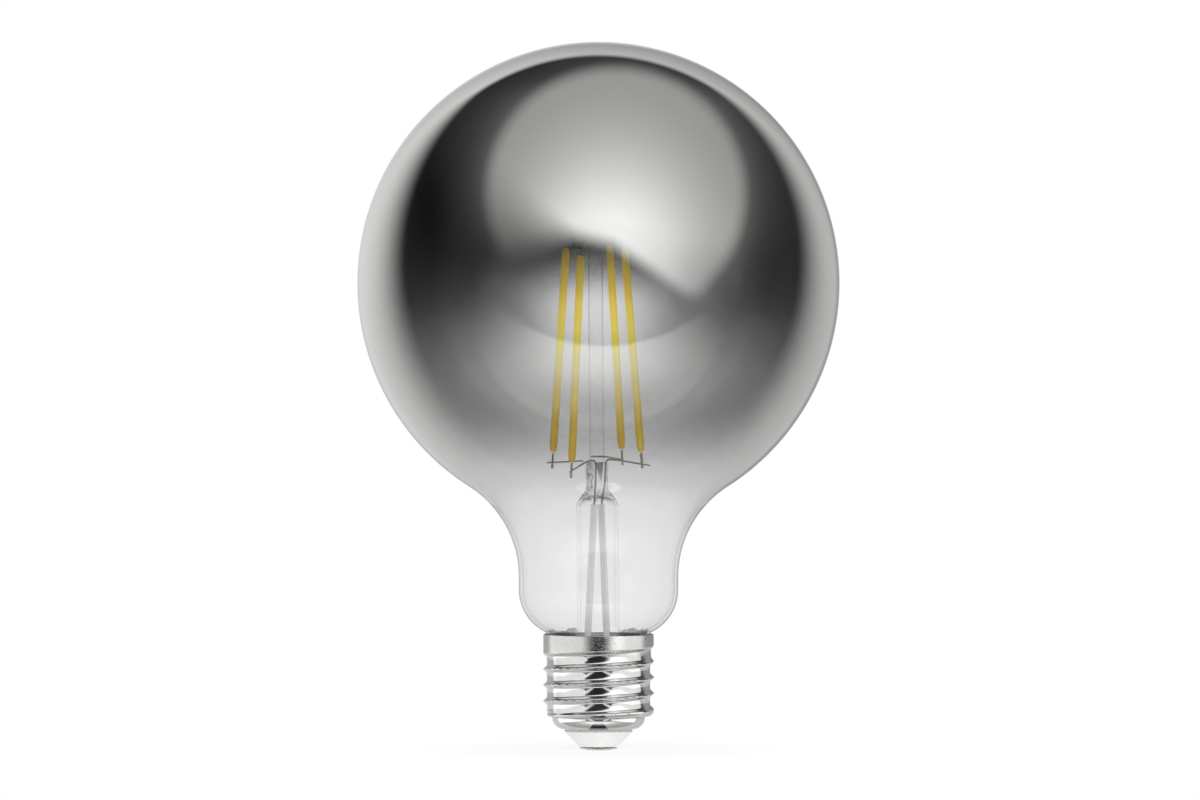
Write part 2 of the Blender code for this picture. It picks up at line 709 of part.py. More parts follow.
def make_lead(name, lead, sleeve_top, sleeve_foot, solder_x, knee, number):
    """One lead from the board up through its sleeve and the press, and over into its arm."""
    weld, side = arm_weld(number, knee)
    solder_y = BOARD_FACE_Y - GAP - WIRE_RADIUS
    solder_z = BOARD_TOP_Z - SOLDER_DROP
    route = [
        (solder_x, solder_y, solder_z - SOLDER_DROP),
        (solder_x, solder_y, solder_z + SOLDER_DROP),
        (*sleeve_foot, SLEEVE_FOOT_Z),
        (*sleeve_top, SLEEVE_TOP_Z),
        (*lead, STEM_TUBE_TOP_Z + LEAD_ENTRY),
        (*lead, ARM_Z),
        knee,
        past(knee, weld, ARM_END),
    ]
    wire(name, rounded(route, ARM_BEND), LEAD_METAL, parent=MOUNT)
    return side


def make_branch(name, points, number):
    """A wire welded beside an arm, which feeds the other filament of its pair."""
    weld, side = arm_weld(number, points[-1])
    route = [Vector(p) for p in points] + [past(points[-1], weld, BRANCH_END)]
    wire(name, rounded(route, ARM_BEND), LEAD_METAL, parent=MOUNT)
    return side


def make_link(name, first, second, button_z):
    """A wire across the button that joins two filaments' upper tabs."""
    start = beyond(first, False, UPPER_WELD_RISE)
    end = beyond(second, False, UPPER_WELD_RISE)
    side = sideways(end - start)
    across = Vector((end.x - start.x, end.y - start.y, 0.0)).normalized()
    shift = side * WELD_OFFSET
    middle = Vector((shift.x, shift.y, button_z))
    reach = BUTTON_RADIUS + LINK_CLEARANCE
    near, far = middle - across * reach, middle + across * reach
    route = [
        start + shift - across * LINK_END,
        start + shift,
        near,
        far,
        end + shift,
        end + shift + across * LINK_END,
    ]
    wire(name, rounded(route, ARM_BEND), LEAD_METAL, parent=MOUNT)
    make_tab(f"filament_{first}_upper_tab", first, False, UPPER_TAB_LENGTH, side)
    make_tab(f"filament_{second}_upper_tab", second, False, UPPER_TAB_LENGTH, side)
    return channel(f"{name}_channel", near, far, UP, MOUNT)


def make_support_rod(channels):
    """The rod stands on the press, and its melted end holds the link wires."""
    top = BUTTON_Z + BUTTON_HEIGHT
    foot_z = PRESS_TOP_Z + GAP
    section = [(0.0, top)]
    for i in range(BUTTON_STEPS + 1):
        part = i / BUTTON_STEPS
        phase = BUTTON_TOP_PHASE + (BUTTON_FOOT_PHASE - BUTTON_TOP_PHASE) * part
        bulge = math.sin(math.pi * phase) ** BUTTON_ROUNDING
        section.append((BUTTON_RADIUS * bulge, top - BUTTON_HEIGHT * part))
    section += [(ROD_RADIUS, BUTTON_Z - BUTTON_WAIST), (ROD_RADIUS, foot_z), (0.0, foot_z)]
    rod = turned("support_rod", section, ROD_SEGMENTS, CLEAR_GLASS, parent=MOUNT)
    cut(rod, channels)


def make_sleeve(name, top_place, foot_place):
    top = Vector((*top_place, SLEEVE_TOP_Z))
    foot = Vector((*foot_place, SLEEVE_FOOT_Z))
    run = (top - foot).normalized()
    top, foot = top - run * SLEEVE_SHORT_OF_BEND, foot + run * SLEEVE_SHORT_OF_BEND
    length = (top - foot).length
    bore = WIRE_RADIUS + GAP
    outer = bore + SLEEVE_WALL
    section = [(outer, length), (outer, 0.0), (bore, 0.0), (bore, length)]
    sleeve = turned(name, section, TUBE_SEGMENTS, SLEEVING, ring=True, parent=MOUNT)
    aim(sleeve, foot, top, RIGHTWARD)


# Driver inside the cap

BOARD_FOOT_Z = INSULATOR_TOP_Z + GAP
BOARD_TOP_Z = BOARD_FOOT_Z + BOARD_HEIGHT
BOARD_BACK_Y = BOARD_FACE_Y + BOARD_THICKNESS


def make_driver():
    block(
        "driver_board",
        (BOARD_WIDTH, BOARD_THICKNESS, BOARD_HEIGHT),
        (0.0, BOARD_FACE_Y + BOARD_THICKNESS / 2, BOARD_FOOT_Z + BOARD_HEIGHT / 2),
        BOARD_GREEN,
    )
    behind = BOARD_BACK_Y + GAP
    block(
        "bridge_rectifier",
        RECTIFIER_SIZE,
        (BOARD_WIDTH / 4, behind + RECTIFIER_SIZE[1] / 2, BOARD_TOP_Z - RECTIFIER_SIZE[2]),
        BLACK_RESIN,
    )
    block(
        "driver_chip",
        CHIP_SIZE,
        (-BOARD_WIDTH / 4, behind + CHIP_SIZE[1] / 2, BOARD_TOP_Z - CHIP_SIZE[2]),
        BLACK_RESIN,
    )
    round_part(
        "electrolytic_capacitor",
        CAPACITOR_RADIUS,
        CAPACITOR_LENGTH,
        (0.0, BOARD_FACE_Y - GAP - CAPACITOR_RADIUS, BOARD_FOOT_Z + CAPACITOR_LIFT),
        CAPACITOR_CASE,
    )
    round_part(
        "inductor",
        INDUCTOR_RADIUS,
        INDUCTOR_LENGTH,
        (-BOARD_WIDTH / 4, behind + INDUCTOR_RADIUS, BOARD_FOOT_Z + 2 * INDUCTOR_RADIUS),
        COPPER_WINDING,
    )
    round_part(
        "fusible_resistor",
        RESISTOR_RADIUS,
        RESISTOR_LENGTH,
        (BOARD_WIDTH / 4, behind + RESISTOR_RADIUS, BOARD_FOOT_Z + 2 * RESISTOR_RADIUS),
        RESISTOR_BODY,
    )


def make_supply_wires():
    face = BOARD_FACE_Y - GAP - WIRE_RADIUS
    beside = CAPACITOR_LENGTH / 2 + SUPPLY_BESIDE_CAPACITOR
    low = BOARD_FOOT_Z + WIRE_RADIUS + GAP
    live = [
        (0.0, 0.0, CONTACT_STEM_TOP_Z + GAP),
        (0.0, 0.0, INSULATOR_TOP_Z + GAP + WIRE_RADIUS),
        (beside, face / 2, low),
        (beside, face, low + SOLDER_DROP),
        (beside, face, low + 2 * SOLDER_DROP),
    ]
    wire("live_wire", rounded(live, ARM_BEND), LEAD_METAL)
    wall = CREST_RADIUS - THREAD_DEPTH - SHELL_SHEET - GAP - WIRE_RADIUS
    neutral = [
        (-beside, face, low + 2 * SOLDER_DROP),
        (-beside, face, low + SOLDER_DROP),
        (-(beside + wall) / 2, face / 2, low + SOLDER_DROP),
        (-wall, 0.0, low + 2 * SOLDER_DROP),
        (-wall, 0.0, low + 4 * SOLDER_DROP),
    ]
    wire("neutral_wire", rounded(neutral, ARM_BEND), LEAD_METAL)


clear_scene()
BULB = new_collection("led_filament_bulb")
CUTTERS = new_collection("cutters")

CHROMED = finish("chromed_shell", (0.72, 0.72, 0.72), 0.12, 1.0)
SOLDERED = finish("soldered_contact", (0.7, 0.7, 0.7), 0.3, 1.0)
WHITE_PLASTIC = finish("white_insulator", (0.85, 0.85, 0.84), 0.4)
COATED_GLASS = finish("smoke_mirror_glass", (0.45, 0.45, 0.44), 0.02, 0.6, 0.45)
CLEAR_GLASS = finish("clear_glass", (0.9, 0.92, 0.92), 0.02, 0.0, 0.35)
CEMENT = finish("capping_cement", (0.35, 0.34, 0.32), 0.8)
PHOSPHOR = finish("yellow_phosphor", (0.72, 0.52, 0.1), 0.5)
NICKEL = finish("nickel_tab", (0.55, 0.55, 0.53), 0.35, 1.0)
LEAD_METAL = finish("lead_wire", (0.4, 0.4, 0.39), 0.4, 1.0)
SLEEVING = finish("insulating_sleeve", (0.8, 0.8, 0.78), 0.5, 0.0, 0.6)
BOARD_GREEN = finish("green_board", (0.05, 0.25, 0.1), 0.4)
BLACK_RESIN = finish("black_resin", (0.03, 0.03, 0.03), 0.5)
CAPACITOR_CASE = finish("capacitor_sleeve", (0.05, 0.05, 0.08), 0.35)
COPPER_WINDING = finish("copper_winding", (0.6, 0.3, 0.15), 0.4, 1.0)
RESISTOR_BODY = finish("resistor_lacquer", (0.25, 0.4, 0.3), 0.5)

MOUNT = bpy.data.objects.new("mount", None)
BULB.objects.link(MOUNT)
PIVOT = Matrix.Translation((0.0, 0.0, STEM_FOOT_Z))
MOUNT.matrix_world = PIVOT @ Matrix.Rotation(-MOUNT_LEAN, 4, "Y") @ PIVOT.inverted()

make_screw_shell()
make_insulator()
make_contact()
make_globe()
make_cement()
make_stem()
make_exhaust_tube()

for filament_number in FILAMENTS:
    make_filament(filament_number)

lower_sides = {
    2: make_lead(
        "lead_wire_left", LEFT_LEAD, LEFT_SLEEVE_TOP, LEFT_SLEEVE_FOOT, -SOLDER_X, LEFT_ARM_KNEE, 2
    ),
    4: make_lead(
        "lead_wire_right", RIGHT_LEAD, RIGHT_SLEEVE_TOP, RIGHT_SLEEVE_FOOT, SOLDER_X,
        RIGHT_ARM_KNEE, 4
    ),
    1: make_branch("branch_wire_left", [LEFT_BRANCH_START], 1),
    3: make_branch("branch_wire_right", [RIGHT_BRANCH_START, RIGHT_BRANCH_KNEE], 3),
}
for filament_number, weld_side in lower_sides.items():
    make_tab(
        f"filament_{filament_number}_lower_tab", filament_number, True, LOWER_TAB_LENGTH, weld_side
    )

link_channels = [
    make_link("link_wire_upper", 1, 4, UPPER_LINK_Z),
    make_link("link_wire_lower", 2, 3, LOWER_LINK_Z),
]
make_support_rod(link_channels)
make_sleeve("lead_sleeve_left", LEFT_SLEEVE_TOP, LEFT_SLEEVE_FOOT)
make_sleeve("lead_sleeve_right", RIGHT_SLEEVE_TOP, RIGHT_SLEEVE_FOOT)
make_driver()
make_supply_wires()
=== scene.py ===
import bmesh
import bpy
import mathutils
import numpy as np
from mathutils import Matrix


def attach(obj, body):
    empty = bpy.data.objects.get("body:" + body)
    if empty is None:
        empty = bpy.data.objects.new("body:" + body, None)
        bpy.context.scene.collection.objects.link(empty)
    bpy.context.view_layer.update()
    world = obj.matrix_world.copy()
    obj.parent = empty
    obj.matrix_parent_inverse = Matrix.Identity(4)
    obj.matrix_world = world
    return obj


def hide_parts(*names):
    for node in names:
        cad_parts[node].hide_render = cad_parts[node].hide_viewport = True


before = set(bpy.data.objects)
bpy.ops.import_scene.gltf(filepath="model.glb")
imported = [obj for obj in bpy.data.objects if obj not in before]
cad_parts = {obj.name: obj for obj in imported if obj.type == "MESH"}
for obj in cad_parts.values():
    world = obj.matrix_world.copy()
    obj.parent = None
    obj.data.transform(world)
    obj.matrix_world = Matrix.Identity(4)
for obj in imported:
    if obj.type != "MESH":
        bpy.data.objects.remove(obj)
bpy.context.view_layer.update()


# Glass stem
# A flared soda-glass tube that stands in the globe's neck. Its top was softened and squeezed flat
# round the two leads, which left a crinkled slab with creased shoulders under it.
MM = 0.001
TURN = 2.0 * np.pi
MOUNT_LEAN = np.radians(0.45)
GLASS_CLEARANCE = 0.3 * MM
SHARP_ANGLE = np.radians(38.0)
STEM_WALL = 0.7 * MM
STEM_TUBE_RADIUS = 5.0 * MM
STEM_FOOT_RADIUS = 9.8 * MM
STEM_FOOT_Z = 21.8 * MM
STEM_LIP_Z = STEM_FOOT_Z + 0.9 * MM
STEM_FLARE_TOP_Z = 28.3 * MM
STEM_TUBE_TOP_Z = 57.6 * MM
PRESS_FOOT_Z = 61.7 * MM
PRESS_TOP_Z = 68.0 * MM
PRESS_HALF_THICKNESS = 2.1 * MM
PRESS_HALF_WIDTH = 5.75 * MM
PRESS_ROUNDING = 0.35 * MM
PRESS_TURN = np.radians(74.0)
CRINKLE_DEPTH = 0.16 * MM
# Painted shade on the press: dark creases, a grey fold between the leads, and its edges.
CREASE_SCALE = 2300.0
CREASE_STRETCH = (1.0, 1.0, 0.6)
CREASE_WIDTH = 0.08
CREASE_SHADE_COVER = 0.9
CREASES_END_Z = 58.4 * MM
BREAK_SCALE = 1100.0
FOLDS_END_X = -0.6 * MM
FOLD_FADE = 1.2 * MM
WEDGE_SHADE_COVER = 0.42
WEDGE_HALF_WIDTH = 1.0 * MM
WEDGE_FOOT_HALF_WIDTH = 0.05 * MM
WEDGE_TOP_X = 0.15 * MM
WEDGE_FOOT_X = 0.65 * MM
WEDGE_FOOT_Z = 63.2 * MM
PRESS_EDGE_SHADE_COVER = 0.3
PRESS_COVER = 0.015


def smooth_step(value):
    """0 below 0, 1 above 1, and 3 t squared less 2 t cubed between them."""
    value = np.clip(value, 0.0, 1.0)
    return value * value * (3.0 - 2.0 * value)


def joined(*parts):
    """Arrays side by side on a new last axis. A single number serves every point."""
    return np.stack(np.broadcast_arrays(*parts), axis=-1)


def unit(vectors):
    """Each vector at a length of one."""
    return vectors / np.linalg.norm(vectors, axis=-1, keepdims=True)


def skin(name, rows):
    """A closed mesh from a grid of points (row, place round the row, xyz). Each row is a loop, and
    quads join it to the next. A row whose points coincide closes to a pole. Rows run down the
    outer side and turn to the left, so that row direction times turning direction faces outwards."""
    count, around = rows.shape[:2]
    index = np.arange(count * around).reshape(count, around)
    turned_on = np.roll(index, -1, axis=1)
    quads = joined(index[:-1], index[1:], turned_on[1:], turned_on[:-1])
    mesh = bpy.data.meshes.new(name)
    mesh.from_pydata(rows.reshape(-1, 3).tolist(), [], quads.reshape(-1, 4).tolist())
    shape = bmesh.new()
    shape.from_mesh(mesh)
    bmesh.ops.remove_doubles(shape, verts=shape.verts, dist=1e-7)
    shape.to_mesh(mesh)
    shape.free()
    mesh.shade_smooth()
    mesh.set_sharp_from_angle(angle=SHARP_ANGLE)
    return mesh


def turn_section(section, around):
    """Rows of a turned piece: the section's points (r, z), each carried once round the Z axis."""
    section = np.asarray(section)
    angle = np.linspace(0.0, TURN, around, endpoint=False)
    x = section[:, :1] * np.cos(angle)
    y = section[:, :1] * np.sin(angle)
    return joined(x, y, section[:, 1:])


def turned(x, y, angle):
    """A place turned round the origin by the angle."""
    cos, sin = np.cos(angle), np.sin(angle)
    return x * cos - y * sin, x * sin + y * cos


def leaned(points):
    """Points of the mount, leaned with it: turned about Y round the height of the stem's foot."""
    x, y, z = np.moveaxis(points, -1, 0)
    x, z = turned(x, z - STEM_FOOT_Z, MOUNT_LEAN)
    return joined(x, y, z + STEM_FOOT_Z)


def inner_side(outline, wall):
    """The outline moved one wall inwards, square to its own run, for one that runs down outside."""
    run = unit(np.gradient(outline, axis=0))
    return outline + wall * joined(run[:, 1], -run[:, 0])


def placed(name, data):
    """A new object for a mesh, a lamp or a camera, linked into the scene."""
    thing = bpy.data.objects.new(name, data)
    bpy.context.scene.collection.objects.link(thing)
    return thing


def add_piece(name, rows, material, node):
    """Put a mesh of the rows into the scene in place of a CAD node, on the bulb's one body."""
    piece = placed(name, skin(node, rows))
    piece.data.materials.append(material)
    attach(piece, "root")
    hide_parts(node)
    return piece


def feed(tree, socket, value):
    """Link a shader value to a socket, or set the socket to a plain one."""
    if isinstance(value, Value):
        tree.links.new(value.socket, socket)
    else:
        socket.default_value = value


def lay(tree, kind, output, **inputs):
    """Lay a node, feed its inputs by name, and give one of its outputs as a value."""
    node = tree.nodes.new(kind)
    for name, value in inputs.items():
        feed(tree, node.inputs[name], value)
    return Value(tree, node.outputs[output])


class Value:
    """A value in a shader tree. An arithmetic sign on it lays a Math node."""

    def __init__(self, tree, socket):
        self.tree = tree
        self.socket = socket

    def maths(self, operation, *values):
        node = self.tree.nodes.new("ShaderNodeMath")
        node.operation = operation
        for socket, value in zip(node.inputs, values):
            feed(self.tree, socket, value)
        return Value(self.tree, node.outputs[0])

    def __add__(self, other):
        return self.maths("ADD", self, other)

    def __sub__(self, other):
        return self.maths("SUBTRACT", self, other)

    def __rsub__(self, other):
        return self.maths("SUBTRACT", other, self)

    def __mul__(self, other):
        return self.maths("MULTIPLY", self, other)

    def __truediv__(self, other):
        return self.maths("DIVIDE", self, other)

    def __pow__(self, other):
        return self.maths("POWER", self, other)

    def __rpow__(self, other):
        return self.maths("POWER", other, self)

    def __neg__(self):
        return self * -1.0

    def __abs__(self):
        return self.maths("ABSOLUTE", self)

    def at_least(self, other):
        return self.maths("MAXIMUM", self, other)

    def at_most(self, other):
        return self.maths("MINIMUM", self, other)

    def root(self):
        return self.maths("SQRT", self)

    def ramp(self, low, high, out_low=0.0, out_high=1.0, easing="SMOOTHSTEP"):
        """Carry the range from low to high to the out values, in a smooth step or evenly."""
        node = self.tree.nodes.new("ShaderNodeMapRange")
        node.interpolation_type = easing
        for socket, value in zip(node.inputs, (self, low, high, out_low, out_high)):
            feed(self.tree, socket, value)
        return Value(self.tree, node.outputs["Result"])

    def parts(self):
        """The three parts of a vector."""
        node = self.tree.nodes.new("ShaderNodeSeparateXYZ")
        feed(self.tree, node.inputs[0], self)
        return [Value(self.tree, output) for output in node.outputs]


class Finish:
    """A material on one Principled shader, with short calls for the nodes that drive it."""

    def __init__(self, name, colour, roughness, metallic=0.0):
        self.material = bpy.data.materials.new(name)
        self.material.use_nodes = True
        self.tree = self.material.node_tree
        self.set("Base Color", (*colour, 1.0))
        self.set("Roughness", roughness)
        self.set("Metallic", metallic)
        self.place = lay(self.tree, "ShaderNodeTexCoord", "Object")
        self.x, self.y, self.z = self.place.parts()

    def set(self, socket, value):
        feed(self.tree, self.tree.nodes["Principled BSDF"].inputs[socket], value)

    def stretched(self, scale):
        return lay(self.tree, "ShaderNodeMapping", "Vector", Vector=self.place, Scale=scale)

    def noise(self, scale, detail=4.0, place=None):
        return lay(self.tree, "ShaderNodeTexNoise", "Fac", Vector=place or self.place, Scale=scale,
                   Detail=detail)

    def facing(self):
        """0 where the surface faces the eye, and 1 where it is seen edge-on."""
        return lay(self.tree, "ShaderNodeLayerWeight", "Facing")

    def raise_by(self, height, strength, distance):
        self.set("Normal", lay(self.tree, "ShaderNodeBump", "Normal", Height=height,
                               Strength=strength, Distance=distance))

    def colours(self, value, *stops):
        """A run of colours over the value: each stop is a position and a colour."""
        node = self.tree.nodes.new("ShaderNodeValToRGB")
        feed(self.tree, node.inputs["Fac"], value)
        ramp = node.color_ramp.elements
        while len(ramp) < len(stops):
            ramp.new(0.5)
        for element, (position, colour) in zip(ramp, stops):
            element.position = position
            element.color = (*colour, 1.0)
        return Value(self.tree, node.outputs["Color"])

    def mottle(self, value, *stops):
        """Take the surface's own colour from a run of colours over the value."""
        self.set("Base Color", self.colours(value, *stops))


def stem_outer():
    """The press's top, its slab, the shoulders that swell to the tube, and the flare's curve."""
    half = PRESS_HALF_THICKNESS
    edge = np.linspace(0.0, np.pi / 2, 8)
    rounding = PRESS_ROUNDING
    top = joined(half - rounding + rounding * np.sin(edge),
                 PRESS_TOP_Z - rounding + rounding * np.cos(edge))
    slab_z = np.linspace(PRESS_TOP_Z - rounding, PRESS_FOOT_Z, 22)[1:]
    slab = joined(half, slab_z)
    t = np.linspace(0.0, 1.0, 18)[1:]
    shoulder = joined(half + (STEM_TUBE_RADIUS - half) * smooth_step(t) ** 0.8,
                      PRESS_FOOT_Z + (STEM_TUBE_TOP_Z - PRESS_FOOT_Z) * t)
    tube_z = np.linspace(STEM_TUBE_TOP_Z, STEM_FLARE_TOP_Z, 14)[1:-1]
    tube = joined(STEM_TUBE_RADIUS, tube_z)
    t = np.linspace(0.0, 1.0, 14)
    flare = joined(STEM_TUBE_RADIUS + (STEM_FOOT_RADIUS - STEM_TUBE_RADIUS) * t**2.4,
                   STEM_FLARE_TOP_Z + (STEM_LIP_Z - STEM_FLARE_TOP_Z) * t**0.8)
    foot = np.array([[STEM_FOOT_RADIUS, STEM_FOOT_Z]])
    return np.concatenate([top, slab, shoulder, tube, flare, foot])


def pressed(rows):
    """Widen the stem where it was squeezed, crease the slab and its shoulders, and turn it."""
    x, y, z = np.moveaxis(rows, -1, 0)
    grip = smooth_step((z - STEM_TUBE_TOP_Z) / (PRESS_FOOT_Z - STEM_TUBE_TOP_Z))
    angle = np.arctan2(y, x)
    creases = (np.sin(2300.0 * z + 3.0 * angle) * np.sin(5.0 * angle + 900.0 * z)
               + 0.6 * np.sin(1500.0 * z - 7.0 * angle + 1.3))
    swell = 1.0 + creases * grip * CRINKLE_DEPTH / (PRESS_HALF_THICKNESS + np.hypot(x, y))
    x = x * (1.0 + (PRESS_HALF_WIDTH / PRESS_HALF_THICKNESS - 1.0) * grip) * swell
    y = y * swell
    return joined(*turned(x, y, PRESS_TURN), z)


def clear_glass(name, edge_shade_grey, edge_shade_cover, cover):
    """Thin clear glass: it lets through what lies behind, and a grey painted shade darkens it where
    it is seen edge-on.
    """
    glass = Finish(name, edge_shade_grey, 0.04)
    # Painted shade: grey alpha that grows where the glass is seen edge-on.
    glass.set("Alpha", glass.facing() ** 3.0 * edge_shade_cover + cover)
    return glass.material


def pressed_glass():
    """Glass that was squeezed soft and is clear. Painted shade lies in fine dark creases where folds
    met, which are the contour lines of a cloud, in a grey fold between the leads that narrows
    downwards, and where the glass is seen edge-on."""
    glass = Finish("pressed_glass", (0.06, 0.06, 0.06), 0.05)
    x, z = glass.x, glass.z
    cloud = glass.noise(CREASE_SCALE, 1.5, glass.stretched(CREASE_STRETCH))
    crease_shade = abs(cloud - 0.5).ramp(0.0, CREASE_WIDTH, 1.0, 0.0)
    crease_shade = crease_shade * glass.noise(BREAK_SCALE, 2.0).ramp(0.4, 0.5)
    folded = x.ramp(FOLDS_END_X, FOLDS_END_X - FOLD_FADE, 0.12, 1.0)
    folded = folded.at_least(z.ramp(PRESS_FOOT_Z + 0.3 * MM, PRESS_FOOT_Z - 0.5 * MM, 0.0, 0.8))
    folded = folded * z.ramp(CREASES_END_Z, CREASES_END_Z + FOLD_FADE)
    half = z.ramp(WEDGE_FOOT_Z, PRESS_TOP_Z, WEDGE_FOOT_HALF_WIDTH, WEDGE_HALF_WIDTH, "LINEAR")
    middle = z.ramp(WEDGE_FOOT_Z, PRESS_TOP_Z, WEDGE_FOOT_X, WEDGE_TOP_X, "LINEAR")
    wedge_shade = (abs(x - middle) - half).ramp(-0.15 * MM, 0.1 * MM, 1.0, 0.0)
    wedge_shade = wedge_shade * z.ramp(WEDGE_FOOT_Z, PRESS_TOP_Z - FOLD_FADE, 0.4, 1.0)
    # Painted shade: creases, fold and edges laid as alpha over a dark grey.
    cover = crease_shade * folded * CREASE_SHADE_COVER + wedge_shade * WEDGE_SHADE_COVER
    cover = cover + glass.facing() ** 3.0 * PRESS_EDGE_SHADE_COVER + PRESS_COVER
    glass.set("Alpha", cover.at_most(0.9))
    glass.set("Specular IOR Level", 0.15)
    return glass.material


# Stem and exhaust glass, with a grey painted shade at its edges.
STEM_GLASS = clear_glass("stem_glass", (0.3, 0.3, 0.3), 0.12, 0.005)
PRESS_GLASS = pressed_glass()

outer = stem_outer()
hollow = inner_side(outer, STEM_WALL)
hollow = hollow[hollow[:, 1] < STEM_TUBE_TOP_Z + 3.0 * STEM_WALL]
hollow[-1] = (STEM_FOOT_RADIUS - STEM_WALL, STEM_FOOT_Z)
section = np.concatenate([
    [[0.0, PRESS_TOP_Z]], outer, hollow[::-1], [[0.0, hollow[0, 1] + STEM_WALL]]
])
stem_mesh = add_piece("stem_glass", leaned(pressed(turn_section(section, 96))), STEM_GLASS,
                      "glass_stem").data
stem_mesh.materials.append(PRESS_GLASS)
middle_z = np.array([face.center.z for face in stem_mesh.polygons])
stem_mesh.polygons.foreach_set("material_index", (middle_z > STEM_TUBE_TOP_Z).astype(np.int32))


# Exhaust tube
# A thin glass tube fused into the stem. The bulb was pumped and filled through it, and then it was
# melted shut at its tip, inside the cap.
EXHAUST_RADIUS = 1.6 * MM
EXHAUST_BORE = 1.0 * MM
EXHAUST_TIP_Z = 15.4 * MM
EXHAUST_TOP_Z = 58.4 * MM
EXHAUST_TIP_STRETCH = 1.6

tip = np.linspace(np.pi / 2, 0.0, 12)
inner_tip = tip[::-1]
bore_foot_z = EXHAUST_TIP_Z + EXHAUST_TIP_STRETCH * EXHAUST_RADIUS
section = np.concatenate([
    [[EXHAUST_BORE, EXHAUST_TOP_Z], [EXHAUST_RADIUS, EXHAUST_TOP_Z]],
    joined(EXHAUST_RADIUS * np.sin(tip),
           EXHAUST_TIP_Z + EXHAUST_RADIUS * (1.0 - np.cos(tip)) * EXHAUST_TIP_STRETCH),
    [[0.0, EXHAUST_TIP_Z], [0.0, bore_foot_z - EXHAUST_BORE]],
    joined(EXHAUST_BORE * np.sin(inner_tip),
           bore_foot_z - EXHAUST_BORE * np.cos(inner_tip)),
    [[EXHAUST_BORE, EXHAUST_TOP_Z]],
])
add_piece("exhaust_glass", leaned(turn_section(section, 40)), STEM_GLASS, "exhaust_tube")


# Filament places
# Four rods stand on a ring of feet and lean in to a smaller ring of heads. Every weld, wire and tab
# of the mount takes its place from their lines.
FILAMENT_LENGTH = 48.6 * MM
FOOT_RING_RADIUS = 11.96 * MM
HEAD_RING_RADIUS = 7.7 * MM
RING_TURN = np.radians(-29.6)
HEAD_TWIST = np.radians(3.2)
QUARTER = {1: 2, 2: 3, 3: 1, 4: 0}
FOOT_LIFT = {1: 2.4 * MM, 2: 0.3 * MM, 3: 3.0 * MM, 4: 2.4 * MM}
WELD_DROP = {1: 2.5 * MM, 2: 1.9 * MM, 3: 2.5 * MM, 4: 3.0 * MM}


def ring_place(radius, turn, quarter):
    angle = turn + quarter * TURN / 4
    return np.array([radius * np.cos(angle), radius * np.sin(angle), 0.0])


def filament_ends(number):
    """The foot and the head of a filament: two rings set its lean, and its length sets the rise."""
    foot = ring_place(FOOT_RING_RADIUS, RING_TURN, QUARTER[number])
    head = ring_place(HEAD_RING_RADIUS, RING_TURN + HEAD_TWIST, QUARTER[number])
    rise = np.sqrt(FILAMENT_LENGTH**2 - np.sum((head - foot) ** 2))
    foot[2] = PRESS_TOP_Z + FOOT_LIFT[number]
    head[2] = foot[2] + rise
    return foot, head


def beyond(number, lower, distance):
    """A point on a filament's own line, past its foot or past its head."""
    foot, head = filament_ends(number)
    axis = unit(head - foot)
    return foot - axis * distance if lower else head + axis * distance


def sideways(direction):
    """The level direction square to another one."""
    return unit(np.array([-direction[1], direction[0], 0.0]))


# Support rod and button
# A solid glass rod stands on the press. Its end was melted to a button round the two upper wires,
# which left it lumpy.
ROD_RADIUS = 1.75 * MM
BUTTON_RADIUS = 2.3 * MM
BUTTON_HEIGHT = 3.4 * MM
UPPER_WIRE_IN_BUTTON = 2.4 * MM
WIRE_SPACING = 0.8 * MM
BUTTON_Z = np.mean([filament_ends(n)[1][2] for n in QUARTER]) - 0.1 * MM
UPPER_LINK_Z = BUTTON_Z + UPPER_WIRE_IN_BUTTON
LOWER_LINK_Z = UPPER_LINK_Z - WIRE_SPACING


def rod_section():
    """A domed top, a button that bulges by a sine's power, a waist, and the straight rod."""
    t = np.linspace(0.0, 1.0, 26)
    bulge = BUTTON_RADIUS * np.sin(np.pi * (0.02 + 0.8 * t)) ** 0.55
    button = joined(bulge, BUTTON_Z + BUTTON_HEIGHT * (1.0 - t))
    z = np.linspace(BUTTON_Z - 0.6 * MM, PRESS_TOP_Z + GLASS_CLEARANCE, 40)
    rod = joined(ROD_RADIUS, z)
    return np.concatenate([
        [[0.0, BUTTON_Z + BUTTON_HEIGHT]], button, rod, [[0.0, PRESS_TOP_Z + GLASS_CLEARANCE]]
    ])


def melted(rows):
    """Give the button the uneven swell of glass that was melted in a flame."""
    x, y, z = np.moveaxis(rows, -1, 0)
    angle = np.arctan2(y, x)
    hot = smooth_step((z - BUTTON_Z + 1.0 * MM) / (1.5 * MM))
    lumps = 0.05 * np.sin(3.0 * angle + 1200.0 * z) + 0.04 * np.sin(5.0 * angle - 2100.0 * z)
    swell = 1.0 - hot * (0.05 - lumps)
    return joined(x * swell, y * swell, z)


# Rod glass, with a brownish grey painted shade at its edges.
ROD_GLASS = clear_glass("rod_glass", (0.32, 0.27, 0.2), 0.6, 0.02)
add_piece("rod_and_button_glass", leaned(melted(turn_section(rod_section(), 48))), ROD_GLASS,
          "support_rod")


